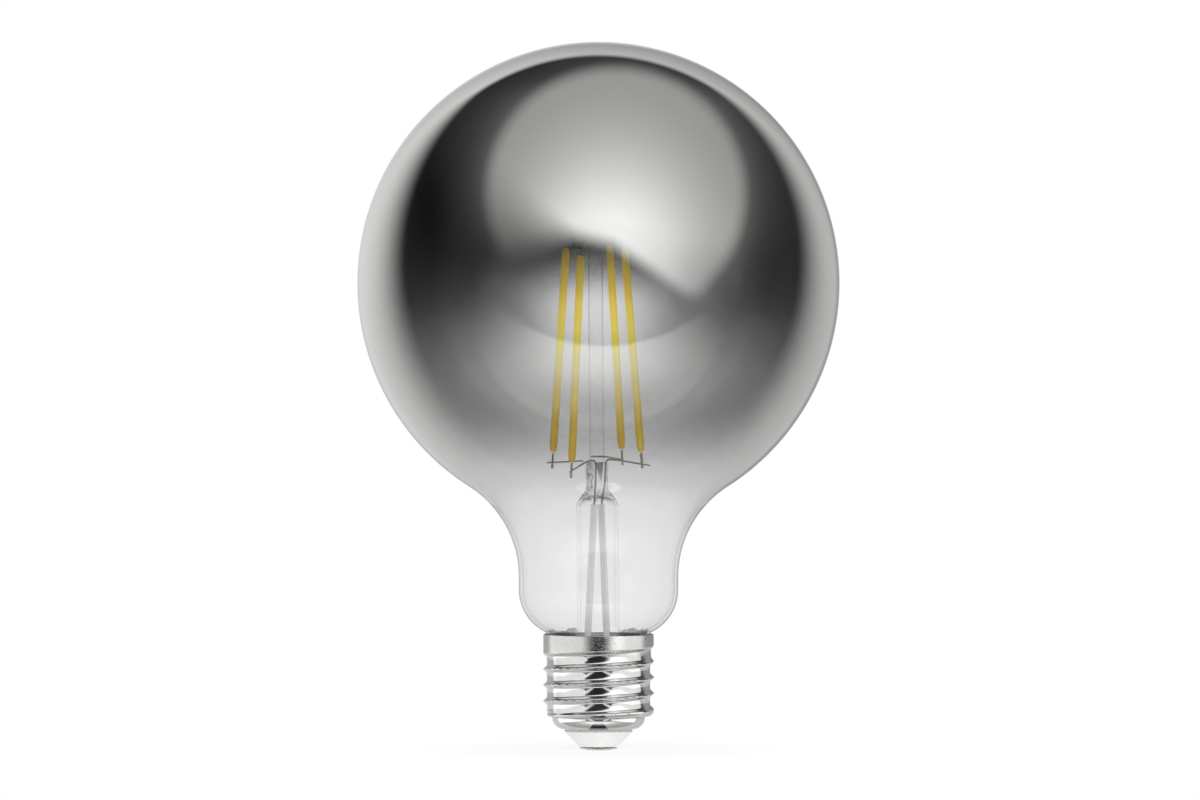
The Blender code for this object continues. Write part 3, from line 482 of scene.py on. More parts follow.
# Wires of the mount
# Nickel-plated iron wire, 0.44 mm thick. Each lead comes up through its sleeve and the press and
# bends over into an arm. A branch is welded beside each arm, and two links cross in the button.
WIRE_RADIUS = 0.22 * MM
WIRE_FIT = 0.3 * MM
BEND = 2.6 * MM
TAB_WIDTH = 0.62 * MM
TAB_THICKNESS = 0.2 * MM
WELD_OFFSET = WIRE_RADIUS + WIRE_FIT + TAB_THICKNESS / 2
UPPER_WELD_RISE = 1.75 * MM
ARM_Z = PRESS_TOP_Z + 0.55 * MM
ARM_END = 2.0 * MM
BRANCH_END = 1.4 * MM
LINK_END = 0.9 * MM
ROUTE_STEP = 0.35 * MM
WANDER = 0.012 * MM
WANDER_RATE = 700.0
LEAD_ENTRY = 6.5 * MM
PRESS_LEAD_X = 3.0 * MM
LEFT_LEAD_OFF_PLANE = -0.57 * MM
RIGHT_LEAD_OFF_PLANE = -1.22 * MM
LEFT_ARM_KNEE = (-2.36 * MM, -5.5 * MM, ARM_Z - 0.3 * MM)
LEFT_BRANCH_START = (-3.2 * MM, -5.3 * MM, ARM_Z - 0.2 * MM)
RIGHT_ARM_KNEE = (4.2 * MM, 0.4 * MM, ARM_Z)
RIGHT_BRANCH_START = (-1.5 * MM, 2.5 * MM, ARM_Z + 0.75 * MM)
RIGHT_BRANCH_KNEE = (1.7 * MM, 3.5 * MM, ARM_Z + 0.75 * MM)
SLEEVE_TOP_Z = 57.6 * MM
SLEEVE_FOOT_Z = 24.6 * MM
LEFT_SLEEVE_TOP = (-0.77 * MM, -2.9 * MM)
LEFT_SLEEVE_FOOT = (-2.62 * MM, -1.92 * MM)
RIGHT_SLEEVE_TOP = (0.9 * MM, 2.88 * MM)
RIGHT_SLEEVE_FOOT = (2.08 * MM, 2.35 * MM)
SOLDER_X = 4.2 * MM
SOLDER_Y = 3.98 * MM
SOLDER_Z = 17.3 * MM
SOLDER_DROP = 1.4 * MM


def eased_route(points, bend):
    """The route with every inner corner eased by a parabola that starts a bend's length away."""
    points = np.array(points, dtype=float)
    before, corner, after = points[:-2], points[1:-1], points[2:]
    back, ahead = before - corner, after - corner
    back_length = np.linalg.norm(back, axis=1, keepdims=True)
    ahead_length = np.linalg.norm(ahead, axis=1, keepdims=True)
    reach = np.minimum(bend, 0.45 * np.minimum(back_length, ahead_length))
    start = corner + back / back_length * reach
    end = corner + ahead / ahead_length * reach
    t = np.linspace(0.0, 1.0, 9)[None, :, None]
    eased = (1 - t) ** 2 * start[:, None] + 2 * t * (1 - t) * corner[:, None] + t**2 * end[:, None]
    return np.concatenate([points[:1], eased.reshape(-1, 3), points[-1:]])


def finely(route, spacing):
    """The same route with points a spacing apart along its length."""
    steps = np.linalg.norm(np.diff(route, axis=0), axis=1)
    along = np.concatenate([[0.0], np.cumsum(steps)])
    places = np.linspace(0.0, along[-1], max(int(along[-1] / spacing), 2) + 1)
    return np.stack([np.interp(places, along, route[:, i]) for i in range(3)], axis=-1), places


def swept(route, radius, around, side):
    """Rows of a round wire: at each point of the route a ring square to its run, with ends that
    close as half balls. The side direction is one that the route never runs along."""
    run = unit(np.gradient(route, axis=0))
    first = unit(side - run * (run @ side)[:, None])
    second = np.cross(first, run)
    cap = np.linspace(0.0, np.pi / 2, 6)
    rising, falling = np.sin(cap[:-1]), np.cos(cap[1:])
    centres = np.concatenate([
        route[0] + run[0] * radius * (1.0 - np.cos(cap[:-1, None])), route[1:-1],
        route[-1] - run[-1] * radius * (1.0 - np.sin(cap[1:, None])),
    ])
    widths = radius * np.concatenate([rising, np.ones(len(route) - 2), falling])
    last = len(route) - 1
    place = np.pad(np.arange(1, last), len(rising), constant_values=(0, last))
    angle = np.linspace(0.0, TURN, around, endpoint=False)[None, :, None]
    ring = np.cos(angle) * first[place, None] + np.sin(angle) * second[place, None]
    return centres[:, None] + widths[:, None, None] * ring


def lead_finish():
    """Dull nickel in clouds of paler and darker grey, with an uneven polish."""
    metal = Finish("nickel_wire", (0.6, 0.59, 0.57), 0.45, 0.35)
    metal.mottle(metal.noise(420.0, 5.0), (0.3, (0.5, 0.49, 0.46)), (0.6, (0.66, 0.65, 0.63)),
                 (0.8, (0.76, 0.75, 0.73)))
    metal.set("Roughness", metal.noise(1500.0).ramp(0.3, 0.7, 0.28, 0.5))
    metal.raise_by(metal.noise(5000.0), 0.15, 0.05 * MM)
    return metal.material


WIRE_METAL = lead_finish()


def arm_weld(number, arm_start):
    """Where an arm passes the lower tab of a filament, a fit beside the strip."""
    weld = beyond(number, True, WELD_DROP[number])
    side = sideways(weld - np.array(arm_start))
    return weld + side * WELD_OFFSET, side


def past(start, weld, distance):
    return weld + unit(weld - np.array(start)) * distance


def add_wire(node, points, side):
    route, places = finely(eased_route(points, BEND), ROUTE_STEP)
    wander = WANDER * np.sin(places * WANDER_RATE)[:, None] * np.asarray(side)
    rows = leaned(swept(route + wander, WIRE_RADIUS, 14, np.asarray(side, dtype=float)))
    add_piece(f"{node}_metal", rows, WIRE_METAL, node)


def lead_points(lead, sleeve_top, sleeve_foot, solder_x, knee, number):
    weld, side = arm_weld(number, knee)
    points = [
        (solder_x, SOLDER_Y, SOLDER_Z - SOLDER_DROP),
        (solder_x, SOLDER_Y, SOLDER_Z + SOLDER_DROP),
        (*sleeve_foot, SLEEVE_FOOT_Z),
        (*sleeve_top, SLEEVE_TOP_Z),
        (*lead, STEM_TUBE_TOP_Z + LEAD_ENTRY),
        (*lead, ARM_Z),
        knee,
        tuple(past(knee, weld, ARM_END)),
    ]
    return points, side


LOWER_SIDES = {}
points, LOWER_SIDES[2] = lead_points(
    turned(-PRESS_LEAD_X, LEFT_LEAD_OFF_PLANE, PRESS_TURN), LEFT_SLEEVE_TOP, LEFT_SLEEVE_FOOT,
    -SOLDER_X, LEFT_ARM_KNEE, 2,
)
add_wire("lead_wire_left", points, LOWER_SIDES[2])
points, LOWER_SIDES[4] = lead_points(
    turned(PRESS_LEAD_X, RIGHT_LEAD_OFF_PLANE, PRESS_TURN), RIGHT_SLEEVE_TOP, RIGHT_SLEEVE_FOOT,
    SOLDER_X, RIGHT_ARM_KNEE, 4,
)
add_wire("lead_wire_right", points, LOWER_SIDES[4])

weld, LOWER_SIDES[1] = arm_weld(1, LEFT_BRANCH_START)
add_wire(
    "branch_wire_left",
    [LEFT_BRANCH_START, (np.array(LEFT_BRANCH_START) + weld) / 2,
     past(LEFT_BRANCH_START, weld, BRANCH_END)],
    LOWER_SIDES[1],
)
weld, LOWER_SIDES[3] = arm_weld(3, RIGHT_BRANCH_KNEE)
add_wire(
    "branch_wire_right",
    [RIGHT_BRANCH_START, RIGHT_BRANCH_KNEE, past(RIGHT_BRANCH_KNEE, weld, BRANCH_END)],
    np.array([0.0, 0.0, 1.0]),
)

UPPER_SIDES = {}
for node, first, second, link_z in (
    ("link_wire_upper", 1, 4, UPPER_LINK_Z), ("link_wire_lower", 2, 3, LOWER_LINK_Z)
):
    start, end = beyond(first, False, UPPER_WELD_RISE), beyond(second, False, UPPER_WELD_RISE)
    side = sideways(end - start)
    across = unit(np.array([end[0] - start[0], end[1] - start[1], 0.0]))
    shift = side * WELD_OFFSET
    middle = np.array([shift[0], shift[1], link_z])
    reach = BUTTON_RADIUS + 2 * WIRE_FIT
    add_wire(node, [
        start + shift - across * LINK_END, start + shift, middle - across * reach,
        middle + across * reach, end + shift, end + shift + across * LINK_END,
    ], side)
    UPPER_SIDES[first] = UPPER_SIDES[second] = side


# Filaments
# A strip of small chips on glass under a thick coat of silicone that holds yellow phosphor. The
# coat was laid by a nozzle, so the rod is a little uneven and thins to rounded ends.
FILAMENT_RADIUS = 0.92 * MM
FILAMENT_TAPER = 2.2 * MM
FILAMENT_TIP_RADIUS = 0.4 * MM
CHIP_PITCH = 1.62 * MM
# Heights and colours of the painted light on the filaments.
PAINTED_LIGHT_HEIGHTS = (70.0 * MM, 116.0 * MM)
FILAMENT_PAINTED_LIGHT = (
    (0.0, (0.02, 0.0, 0.0)), (0.09, (0.07, 0.05, 0.0)), (0.26, (0.22, 0.19, 0.04)),
    (0.38, (0.12, 0.14, 0.01)), (0.5, (0.19, 0.24, 0.0)), (0.63, (0.47, 0.46, 0.11)),
    (0.75, (0.5, 0.41, 0.08)), (0.87, (0.33, 0.26, 0.05)), (1.0, (0.36, 0.28, 0.05)),
)


def phosphor_finish():
    """Yellow silicone in uneven patches, with a fine powder grain. Its glow, a run of colours over
    the height, is painted light: it stands for the light that reaches the coat through the globe
    and scatters inside it."""
    coat = Finish("phosphor_silicone", (0.9, 0.62, 0.1), 0.42)
    grain = coat.noise(2600.0, 5.0)
    coat.mottle(grain * 0.35 + coat.noise(260.0, 3.0) * 0.65, (0.3, (0.8, 0.5, 0.055)),
                (0.5, (0.87, 0.6, 0.085)), (0.72, (0.93, 0.7, 0.14)))
    coat.raise_by(grain, 0.2, 0.04 * MM)
    # Painted light: a glow whose colour runs over the height.
    coat.set("Emission Color", coat.colours(coat.z.ramp(*PAINTED_LIGHT_HEIGHTS, easing="LINEAR"), *FILAMENT_PAINTED_LIGHT))
    coat.set("Emission Strength", 1.0)
    return coat.material


PHOSPHOR = phosphor_finish()


def frame_along(start, end, side):
    """Three unit directions: square to the side, square to the run, and along the run."""
    along = unit(end - start)
    first = unit(np.cross(side, along))
    return first, np.cross(along, first), along


def carried(rows, centre, axes):
    """Rows made upright at the origin, carried to a centre and on to three axes."""
    first, second, along = axes
    return centre + rows[..., :1] * first + rows[..., 1:2] * second + rows[..., 2:] * along


def filament_rows():
    """A long rod: its radius falls as a quarter ellipse over the taper, and wavers slightly."""
    half = FILAMENT_LENGTH / 2
    t = np.linspace(0.0, 1.0, 12)
    taper_r = FILAMENT_TIP_RADIUS + (FILAMENT_RADIUS - FILAMENT_TIP_RADIUS) * np.sqrt(1 - (1 - t) ** 2)
    taper_z = half - FILAMENT_TAPER * t
    body_z = np.linspace(half - FILAMENT_TAPER, -half + FILAMENT_TAPER, 64)[1:-1]
    radius = np.concatenate([[0.0], taper_r, np.full_like(body_z, FILAMENT_RADIUS),
                             taper_r[::-1], [0.0]])
    z = np.concatenate([[half], taper_z, body_z, -taper_z[::-1], [-half]])
    rows = turn_section(joined(radius, z), 28)
    waver = 1.0 - 0.012 * (1.0 + np.sin(TURN * rows[..., 2:] / CHIP_PITCH))
    return rows * np.concatenate([waver, waver, np.ones_like(waver)], axis=-1)


for number in QUARTER:
    foot, head = filament_ends(number)
    rows = carried(filament_rows(), (foot + head) / 2, frame_along(foot, head, sideways(foot)))
    node = f"filament_{number}"
    rod = add_piece(f"{node}_phosphor", leaned(rows), PHOSPHOR, node)
    rod.visible_glossy = False


# Filament tabs
# Thin nickel strips that come out of the filament's ends. Each was pinched against its wire by the
# spot welder, which left it flat, slightly tapered and dull.
LOWER_TAB_LENGTH = 3.6 * MM
UPPER_TAB_LENGTH = 2.8 * MM
TAB_HALF_WIDTH = TAB_WIDTH * 1.3 / 2


def tab_finish():
    metal = Finish("nickel_tab", (0.6, 0.59, 0.57), 0.38, 0.4)
    metal.mottle(metal.noise(700.0), (0.35, (0.5, 0.49, 0.47)), (0.65, (0.72, 0.71, 0.69)))
    metal.set("Roughness", metal.noise(2400.0).ramp(0.3, 0.7, 0.22, 0.45))
    metal.raise_by(metal.noise(3000.0, 2.0), 0.2, 0.05 * MM)
    return metal.material


TAB_METAL = tab_finish()


def tab_rows(length):
    """A flat strip: a rounded rectangle carried along, narrower towards its far end."""
    t = np.array([0.0, 0.0, 0.03, 0.25, 0.5, 0.75, 0.97, 1.0, 1.0])
    width = np.array([0.0, 0.9, 1.0, 0.98, 0.94, 0.9, 0.86, 0.8, 0.0]) * TAB_HALF_WIDTH
    angle = np.linspace(0.0, TURN, 20, endpoint=False)
    round_x = np.sign(np.cos(angle)) * np.abs(np.cos(angle)) ** 0.35
    round_y = np.sign(np.sin(angle)) * np.abs(np.sin(angle)) ** 0.5
    thick = np.where(width > 0, TAB_THICKNESS / 2, 0.0)
    x = width[:, None] * round_x
    y = thick[:, None] * round_y
    return joined(x, y, ((0.5 - t) * length)[:, None])


for number in QUARTER:
    for lower, length, side in (
        (True, LOWER_TAB_LENGTH, LOWER_SIDES[number]), (False, UPPER_TAB_LENGTH, UPPER_SIDES[number])
    ):
        near = beyond(number, lower, GLASS_CLEARANCE)
        far = beyond(number, lower, GLASS_CLEARANCE + length)
        rows = carried(tab_rows(length), (near + far) / 2, frame_along(near, far, side))
        node = f"filament_{number}_{'lower' if lower else 'upper'}_tab"
        add_piece(f"{node}_metal", leaned(rows), TAB_METAL, node)


# Lead sleeves
# Woven glass sleeving, stiffened with varnish, slipped over each lead inside the stem. It lets the
# lead show through, and its faint glow is painted light, which stands for the light that the weave
# scatters.
SLEEVE_BORE = WIRE_RADIUS + WIRE_FIT
SLEEVE_OUTER = SLEEVE_BORE + 0.3 * MM
SLEEVE_OVER_BEND = 0.4 * MM
SLEEVE_SHORT = 0.9 * MM


def sleeve_finish():
    weave = Finish("woven_sleeving", (0.8, 0.8, 0.79), 0.55)
    threads = weave.noise(2200.0, 3.0, weave.stretched((1.0, 1.0, 0.25)))
    weave.mottle(threads, (0.3, (0.74, 0.74, 0.73)), (0.7, (0.84, 0.84, 0.83)))
    weave.raise_by(threads, 0.4, 0.08 * MM)
    weave.set("Alpha", weave.facing().ramp(0.0, 1.0, 0.5, 0.56))
    # Painted light: a faint white glow that brightens the weave.
    weave.set("Emission Color", (1.0, 1.0, 0.98, 1.0))
    weave.set("Emission Strength", 0.12)
    return weave.material


SLEEVING = sleeve_finish()

for node, top_place, foot_place in (
    ("lead_sleeve_left", LEFT_SLEEVE_TOP, LEFT_SLEEVE_FOOT),
    ("lead_sleeve_right", RIGHT_SLEEVE_TOP, RIGHT_SLEEVE_FOOT),
):
    top = np.array([*top_place, SLEEVE_TOP_Z])
    foot = np.array([*foot_place, SLEEVE_FOOT_Z])
    along = unit(top - foot)
    top, foot = top + along * SLEEVE_OVER_BEND, foot + along * SLEEVE_SHORT
    half = np.linalg.norm(top - foot) / 2
    z = np.linspace(half, -half, 40)
    section = np.concatenate([
        joined(SLEEVE_OUTER, z), joined(SLEEVE_BORE, -z), [[SLEEVE_OUTER, half]],
    ])
    axes = frame_along(foot, top, np.array([0.0, 1.0, 0.0]))
    rows = carried(turn_section(section, 24), (top + foot) / 2, axes)
    add_piece(f"{node}_weave", leaned(rows), SLEEVING, node)


# Glass globe
# Blown soda glass, with the neck drawn in and a short seal tube fused to the stem's foot. A smoke
# mirror of evaporated metal covers the crown and thins away below the equator.
GLASS_WALL = 0.8 * MM
GLOBE_RADIUS = 57.0 * MM
NECK_RADIUS = 18.86 * MM
NECK_LENGTH = 3.05 * MM
FLARE_RADIUS = 25.3 * MM
COLLAR_RADIUS = 11.1 * MM
COLLAR_END_RADIUS = 12.55 * MM
COLLAR_END_Z = 27.81 * MM
SEAL_RADIUS = 11.2 * MM
SEAL_FOOT_Z = 21.8 * MM
NECK_TOP_Z = 60.0 * MM
SKIRT_RIM_Z = 27.35 * MM
COAT_GREY = (0.72, 0.72, 0.705)
COAT_CLEAR = (
    (20.0, 0.9), (44.0, 0.9), (52.0, 0.88), (58.0, 0.86), (64.0, 0.85), (70.0, 0.788), (80.0, 0.542),
    (88.0, 0.465), (94.0, 0.378), (100.0, 0.286), (106.0, 0.171), (112.0, 0.105), (118.0, 0.051),
    (126.0, 0.031), (136.0, 0.022), (150.0, 0.014), (168.0, 0.008),
)
COAT_CLOSING = (5.0, 1.2)
CLOSING_BAND = (48.0 * MM, 74.0 * MM)
WINDOW_CLEAR = 0.8
WINDOW_WIDTH = 0.352
WINDOW_Z = 104.5 * MM
WINDOW_UP = 11.0 * MM
WINDOW_DOWN = 18.8 * MM
BARE_EDGE_SHADE_GREY = (0.22, 0.22, 0.22)
BARE_EDGE_Z = 62.0 * MM
BARE_EDGE_FADE = 5.0 * MM
INNER_COVER = 0.01
INNER_EDGE_SHADE_COVER = 0.2
NECK_EDGE_SHADE_COVER = 0.25
NECK_EDGE_BAND = (54.0 * MM, 64.0 * MM)
SMEAR_TOP_Z = 28.7 * MM
SMEAR_FOOT_Z = 27.6 * MM
SMEAR_SCALE = 420.0
SMEAR_EDGE = (0.56, 0.66)
SMEAR_SIDE = (4.0 * MM, 6.0 * MM)
SMEAR_COVER = 0.6


def arc(centre, radius, start, end, steps):
    """Points (r, z) on an arc, from the start angle to the end angle in radians."""
    angle = np.linspace(start, end, steps + 1)
    return joined(centre[0] + radius * np.cos(angle), centre[1] + radius * np.sin(angle))


def globe_outline():
    """The crown and ball, the flare that meets it in a common tangent, the straight neck, the
    collar that turns in to the cap, and the seal tube."""
    collar_centre_r = NECK_RADIUS - COLLAR_RADIUS
    collar_angle = np.arccos((COLLAR_END_RADIUS - collar_centre_r) / COLLAR_RADIUS)
    collar_z = COLLAR_END_Z + COLLAR_RADIUS * np.sin(collar_angle)
    flare_z = collar_z + NECK_LENGTH
    flare_centre_r = NECK_RADIUS + FLARE_RADIUS
    drop = np.sqrt((GLOBE_RADIUS + FLARE_RADIUS) ** 2 - flare_centre_r**2)
    ball_z = flare_z + drop
    join = np.arctan2(drop, flare_centre_r)
    ball = arc((0.0, ball_z), GLOBE_RADIUS, np.pi / 2, -join, 120)
    ball[0, 0] = 0.0
    flare = arc((flare_centre_r, flare_z), FLARE_RADIUS, np.pi - join, np.pi, 30)
    collar = arc((collar_centre_r, collar_z), COLLAR_RADIUS, 0.0, -collar_angle, 24)
    t = np.linspace(0.0, 1.0, 8)[1:]
    step = joined(COLLAR_END_RADIUS + (SEAL_RADIUS - COLLAR_END_RADIUS) * smooth_step(t),
                  COLLAR_END_Z + (SKIRT_RIM_Z - 1.2 * MM - COLLAR_END_Z) * t)
    seal = joined(SEAL_RADIUS, np.linspace(SKIRT_RIM_Z - 1.4 * MM, SEAL_FOOT_Z, 8))
    return np.concatenate([ball, flare[1:], collar, step, seal]), ball_z


def smoke_mirror():
    """Evaporated metal on the outer face. What it lets through falls with height, and a thinner
    patch lies at the front and at the back, where the wall stood farthest from the vapour: a bell
    over the height times a bell over the share of X in the distance from the axis. The coat closes
    where the wall is seen edge-on, and the neck's bare edge carries a dark painted shade where it
    is seen edge-on."""
    coat = Finish("smoke_mirror", COAT_GREY, 0.02, 1.0)
    x, y, z = coat.x, coat.y, coat.z
    # Painted shade: the neck's bare edge turns dark grey where it is seen edge-on.
    bare_edge_shade = coat.facing() * z.ramp(BARE_EDGE_Z - BARE_EDGE_FADE, BARE_EDGE_Z, 1.0, 0.0)
    coat.mottle(bare_edge_shade, (0.7, COAT_GREY), (0.9, BARE_EDGE_SHADE_GREY))
    clear = coat.tree.nodes.new("ShaderNodeFloatCurve")
    low, high = COAT_CLEAR[0][0], COAT_CLEAR[-1][0]
    feed(coat.tree, clear.inputs["Value"], z.ramp(low * MM, high * MM, easing="LINEAR"))
    curve = clear.mapping.curves[0]
    places = [((height - low) / (high - low), share) for height, share in COAT_CLEAR]
    curve.points[0].location = places[0]
    curve.points[1].location = places[-1]
    for place in places[1:-1]:
        curve.points.new(*place)
    clear.mapping.update()
    thin = Value(coat.tree, clear.outputs[0])
    aside = x * x / (x * x + y * y).at_least(1e-6)
    off = z - WINDOW_Z
    rise = off.at_least(0.0) / WINDOW_UP + off.at_most(0.0) / WINDOW_DOWN
    patch = np.e ** -(aside / WINDOW_WIDTH**2 + rise * rise)
    share = thin + (WINDOW_CLEAR - thin).at_least(0.0) * patch
    closing = z.ramp(*CLOSING_BAND, *COAT_CLOSING)
    coat.set("Alpha", 1.0 - share * (1.0 - coat.facing() ** closing))
    return coat.material


def seal_glass():
    """The bare inner face: clear, with a painted shade where it is seen edge-on that is darkest in
    the neck, and with smears of cement just above the cap's rim, where a cloud passes a threshold
    that rises with height."""
    glass = Finish("inner_glass", (0.2, 0.2, 0.19), 0.08)
    low = glass.z.ramp(SMEAR_TOP_Z, SMEAR_FOOT_Z, easing="LINEAR")
    smear = (glass.noise(SMEAR_SCALE) + low * 0.2).ramp(*SMEAR_EDGE, 0.0, SMEAR_COVER)
    smear = smear * abs(glass.x).ramp(*SMEAR_SIDE) * low.ramp(0.0, 0.3)
    # Painted shade where the inner face is seen edge-on, darker still in the neck.
    edge = glass.facing() ** 3.0 * INNER_EDGE_SHADE_COVER
    edge = edge + glass.facing() ** 9.0 * glass.z.ramp(*NECK_EDGE_BAND, NECK_EDGE_SHADE_COVER, 0.0)
    glass.set("Alpha", (smear + edge + INNER_COVER).at_most(0.95))
    return glass.material


SMOKE_MIRROR = smoke_mirror()
INNER_GLASS = seal_glass()
outer, BALL_Z = globe_outline()
inner = inner_side(outer, GLASS_WALL)
inner[0] = (0.0, outer[0, 1] - GLASS_WALL)
inner[-1, 1] = SEAL_FOOT_Z
globe_mesh = add_piece("coated_globe", turn_section(np.concatenate([outer, inner[::-1]]), 160),
                       SMOKE_MIRROR, "glass_globe").data
globe_mesh.materials.append(INNER_GLASS)
centres = np.array([face.center for face in globe_mesh.polygons])
outward = np.array([face.normal for face in globe_mesh.polygons])
from_ball = centres - np.array([0.0, 0.0, BALL_Z])
faces_in = np.where(centres[:, 2] > NECK_TOP_Z, np.sum(outward * from_ball, axis=1) < 0,
                    outward[:, 0] * centres[:, 0] + outward[:, 1] * centres[:, 1] < 0)
globe_mesh.polygons.foreach_set("material_index", faces_in.astype(np.int32))


# Capping cement
# A ring of grey thermosetting cement between the seal tube and the skirt. It was laid in as a paste
# and baked hard, and a little of it shows through the glass at the rim.
CEMENT_OUTER = 12.45 * MM
CEMENT_INNER = 11.5 * MM
CEMENT_TOP_Z = 27.2 * MM
CEMENT_FOOT_Z = 25.3 * MM

cement = Finish("baked_cement", (0.66, 0.65, 0.63), 0.85)
grit = cement.noise(1800.0, 6.0)
cement.mottle(grit, (0.3, (0.5, 0.5, 0.48)), (0.7, (0.78, 0.77, 0.75)))
cement.raise_by(grit, 0.6, 0.2 * MM)
section = np.array([
    (CEMENT_OUTER, CEMENT_TOP_Z), (CEMENT_OUTER, CEMENT_FOOT_Z), (CEMENT_INNER, CEMENT_FOOT_Z),
    (CEMENT_INNER, CEMENT_TOP_Z - 1.0 * MM), (CEMENT_INNER + 0.7 * MM, CEMENT_TOP_Z - 0.1 * MM),
    (CEMENT_OUTER, CEMENT_TOP_Z),
])
add_piece("cement_ring", turn_section(section, 120), cement.material, "capping_cement")


# Screw shell
# Thin sheet, drawn to a cup and rolled between dies that press the round thread in, then plated.
# The skirt above the thread keeps the satin of the drawn sheet, and the thread is bright.
SHELL_SHEET = 0.3 * MM
CREST_RADIUS = 13.1 * MM
SKIRT_RADIUS = 13.05 * MM
SKIRT_FOOT_Z = 25.3 * MM
SATIN_FOOT_Z = 22.6 * MM
THREAD_PITCH = 3.76 * MM
THREAD_DEPTH = 0.92 * MM
THREAD_FOOT_Z = 9.4 * MM
CREST_Z = 9.64 * MM
GROOVE_START_TURN = -0.95
GROOVE_END_TURN = 3.2
GROOVE_FADE_TURNS = 0.3
FLANK_SHARE = 0.26
FLOOR_SAG = 0.36
SHOULDER_ROUND = 1.5 * MM
FOOT_STEP = 0.6 * MM
FOOT_DOME_RADIUS = 2.8 * MM
SHOULDER_Z = THREAD_FOOT_Z - SHOULDER_ROUND
DOME_CENTRE_RADIUS = CREST_RADIUS - SHOULDER_ROUND - FOOT_STEP - FOOT_DOME_RADIUS
DOME_Z = SHOULDER_Z - 0.2 * MM
SHELL_RIM_Z = DOME_Z - FOOT_DOME_RADIUS
# Painted reflection: greys that darken the plating where it turns away from the eye.
SHELL_PAINTED_REFLECTION_GREYS = ((0.3, 1.0), (0.5, 0.88), (0.6, 0.6), (0.72, 0.42), (0.95, 0.27))


def groove_depth(angle, z):
    """How far the rolled groove lies inside the crests: a smooth step down from each crest, and a
    shallow parabola for its floor. It fades in below the skirt and out above the foot."""
    turns = (z - CREST_Z) / THREAD_PITCH - angle / TURN
    crest = np.floor(turns)
    along = crest + angle / TURN
    begin = smooth_step((along - GROOVE_START_TURN) / GROOVE_FADE_TURNS)
    end = smooth_step((GROOVE_END_TURN - along) / GROOVE_FADE_TURNS)
    from_crest = 0.5 - np.abs(turns - crest - 0.5)
    across = (1.0 - FLOOR_SAG) * smooth_step(from_crest / FLANK_SHARE)
    across = across + FLOOR_SAG * (1.0 - (1.0 - 2.0 * from_crest) ** 2)
    return THREAD_DEPTH * across * begin * end


def shell_section():
    """The sheet's outer side from the skirt's rim to the foot, before the thread is rolled."""
    rim = arc((SKIRT_RADIUS - 0.15 * MM, SKIRT_RIM_Z - 0.15 * MM), 0.15 * MM, np.pi / 2, 0.0, 5)
    skirt_z = np.linspace(SKIRT_RIM_Z - 0.2 * MM, SKIRT_FOOT_Z, 8)
    skirt = joined(SKIRT_RADIUS, skirt_z)
    thread_z = np.linspace(SKIRT_FOOT_Z - 0.1 * MM, THREAD_FOOT_Z, 160)
    swell = smooth_step((SATIN_FOOT_Z - thread_z) / MM)
    thread_r = SKIRT_RADIUS + (CREST_RADIUS - SKIRT_RADIUS) * swell
    thread = joined(thread_r, thread_z)
    shoulder = arc((CREST_RADIUS - SHOULDER_ROUND, THREAD_FOOT_Z), SHOULDER_ROUND, 0.0,
                   -np.pi / 2, 14)
    dome = arc((DOME_CENTRE_RADIUS, DOME_Z), FOOT_DOME_RADIUS, 0.0, -np.pi / 2, 20)
    return np.concatenate([rim, skirt, thread, shoulder[1:], dome])


def rolled(rows):
    """Press the helical groove into both faces of the sheet."""
    x, y, z = np.moveaxis(rows, -1, 0)
    radius = np.hypot(x, y)
    angle = np.arctan2(y, x) % TURN
    inside = (z < SKIRT_FOOT_Z) & (z > SHOULDER_Z)
    scale = np.where(inside, (radius - groove_depth(angle, z)) / radius, 1.0)
    return joined(x * scale, y * scale, z)


def plated_sheet():
    """Bright plating on the thread; satin grain, coarser and duller, on the skirt. The sheet is
    darker where it turns away from the eye, which stands for a dark room that it would mirror."""
    plate = Finish("plated_shell", (0.82, 0.82, 0.81), 0.08, 1.0)
    skirt = plate.z.ramp(SATIN_FOOT_Z - 0.4 * MM, SATIN_FOOT_Z)
    smudges = plate.noise(330.0)
    bright = smudges.ramp(0.35, 0.75, 0.09, 0.16)
    satin = plate.noise(3800.0, 2.0).ramp(0.35, 0.65, 0.1, 0.3)
    plate.set("Roughness", bright + (satin - bright) * skirt)
    sheet = plate.colours(
        smudges - skirt * 0.34, (0.1, (0.73, 0.73, 0.72)), (0.36, (0.79, 0.79, 0.78)),
        (0.7, (0.86, 0.86, 0.85))
    )
    painted_dark_room_reflection = plate.colours(
        plate.facing(), *((place, (grey, grey, grey)) for place, grey in SHELL_PAINTED_REFLECTION_GREYS)
    )
    shaded = plate.tree.nodes.new("ShaderNodeVectorMath")
    shaded.operation = "MULTIPLY"
    feed(plate.tree, shaded.inputs[0], sheet)
    feed(plate.tree, shaded.inputs[1], painted_dark_room_reflection)
    plate.set("Base Color", Value(plate.tree, shaded.outputs[0]))
    plate.raise_by(plate.noise(6200.0, 2.0) * skirt, 0.55, 0.05 * MM)
    return plate.material


outer = shell_section()
section = np.concatenate([outer, inner_side(outer, SHELL_SHEET)[::-1], outer[:1]])
add_piece("plated_screw_shell", rolled(turn_section(section, 192)), plated_sheet(), "screw_shell")


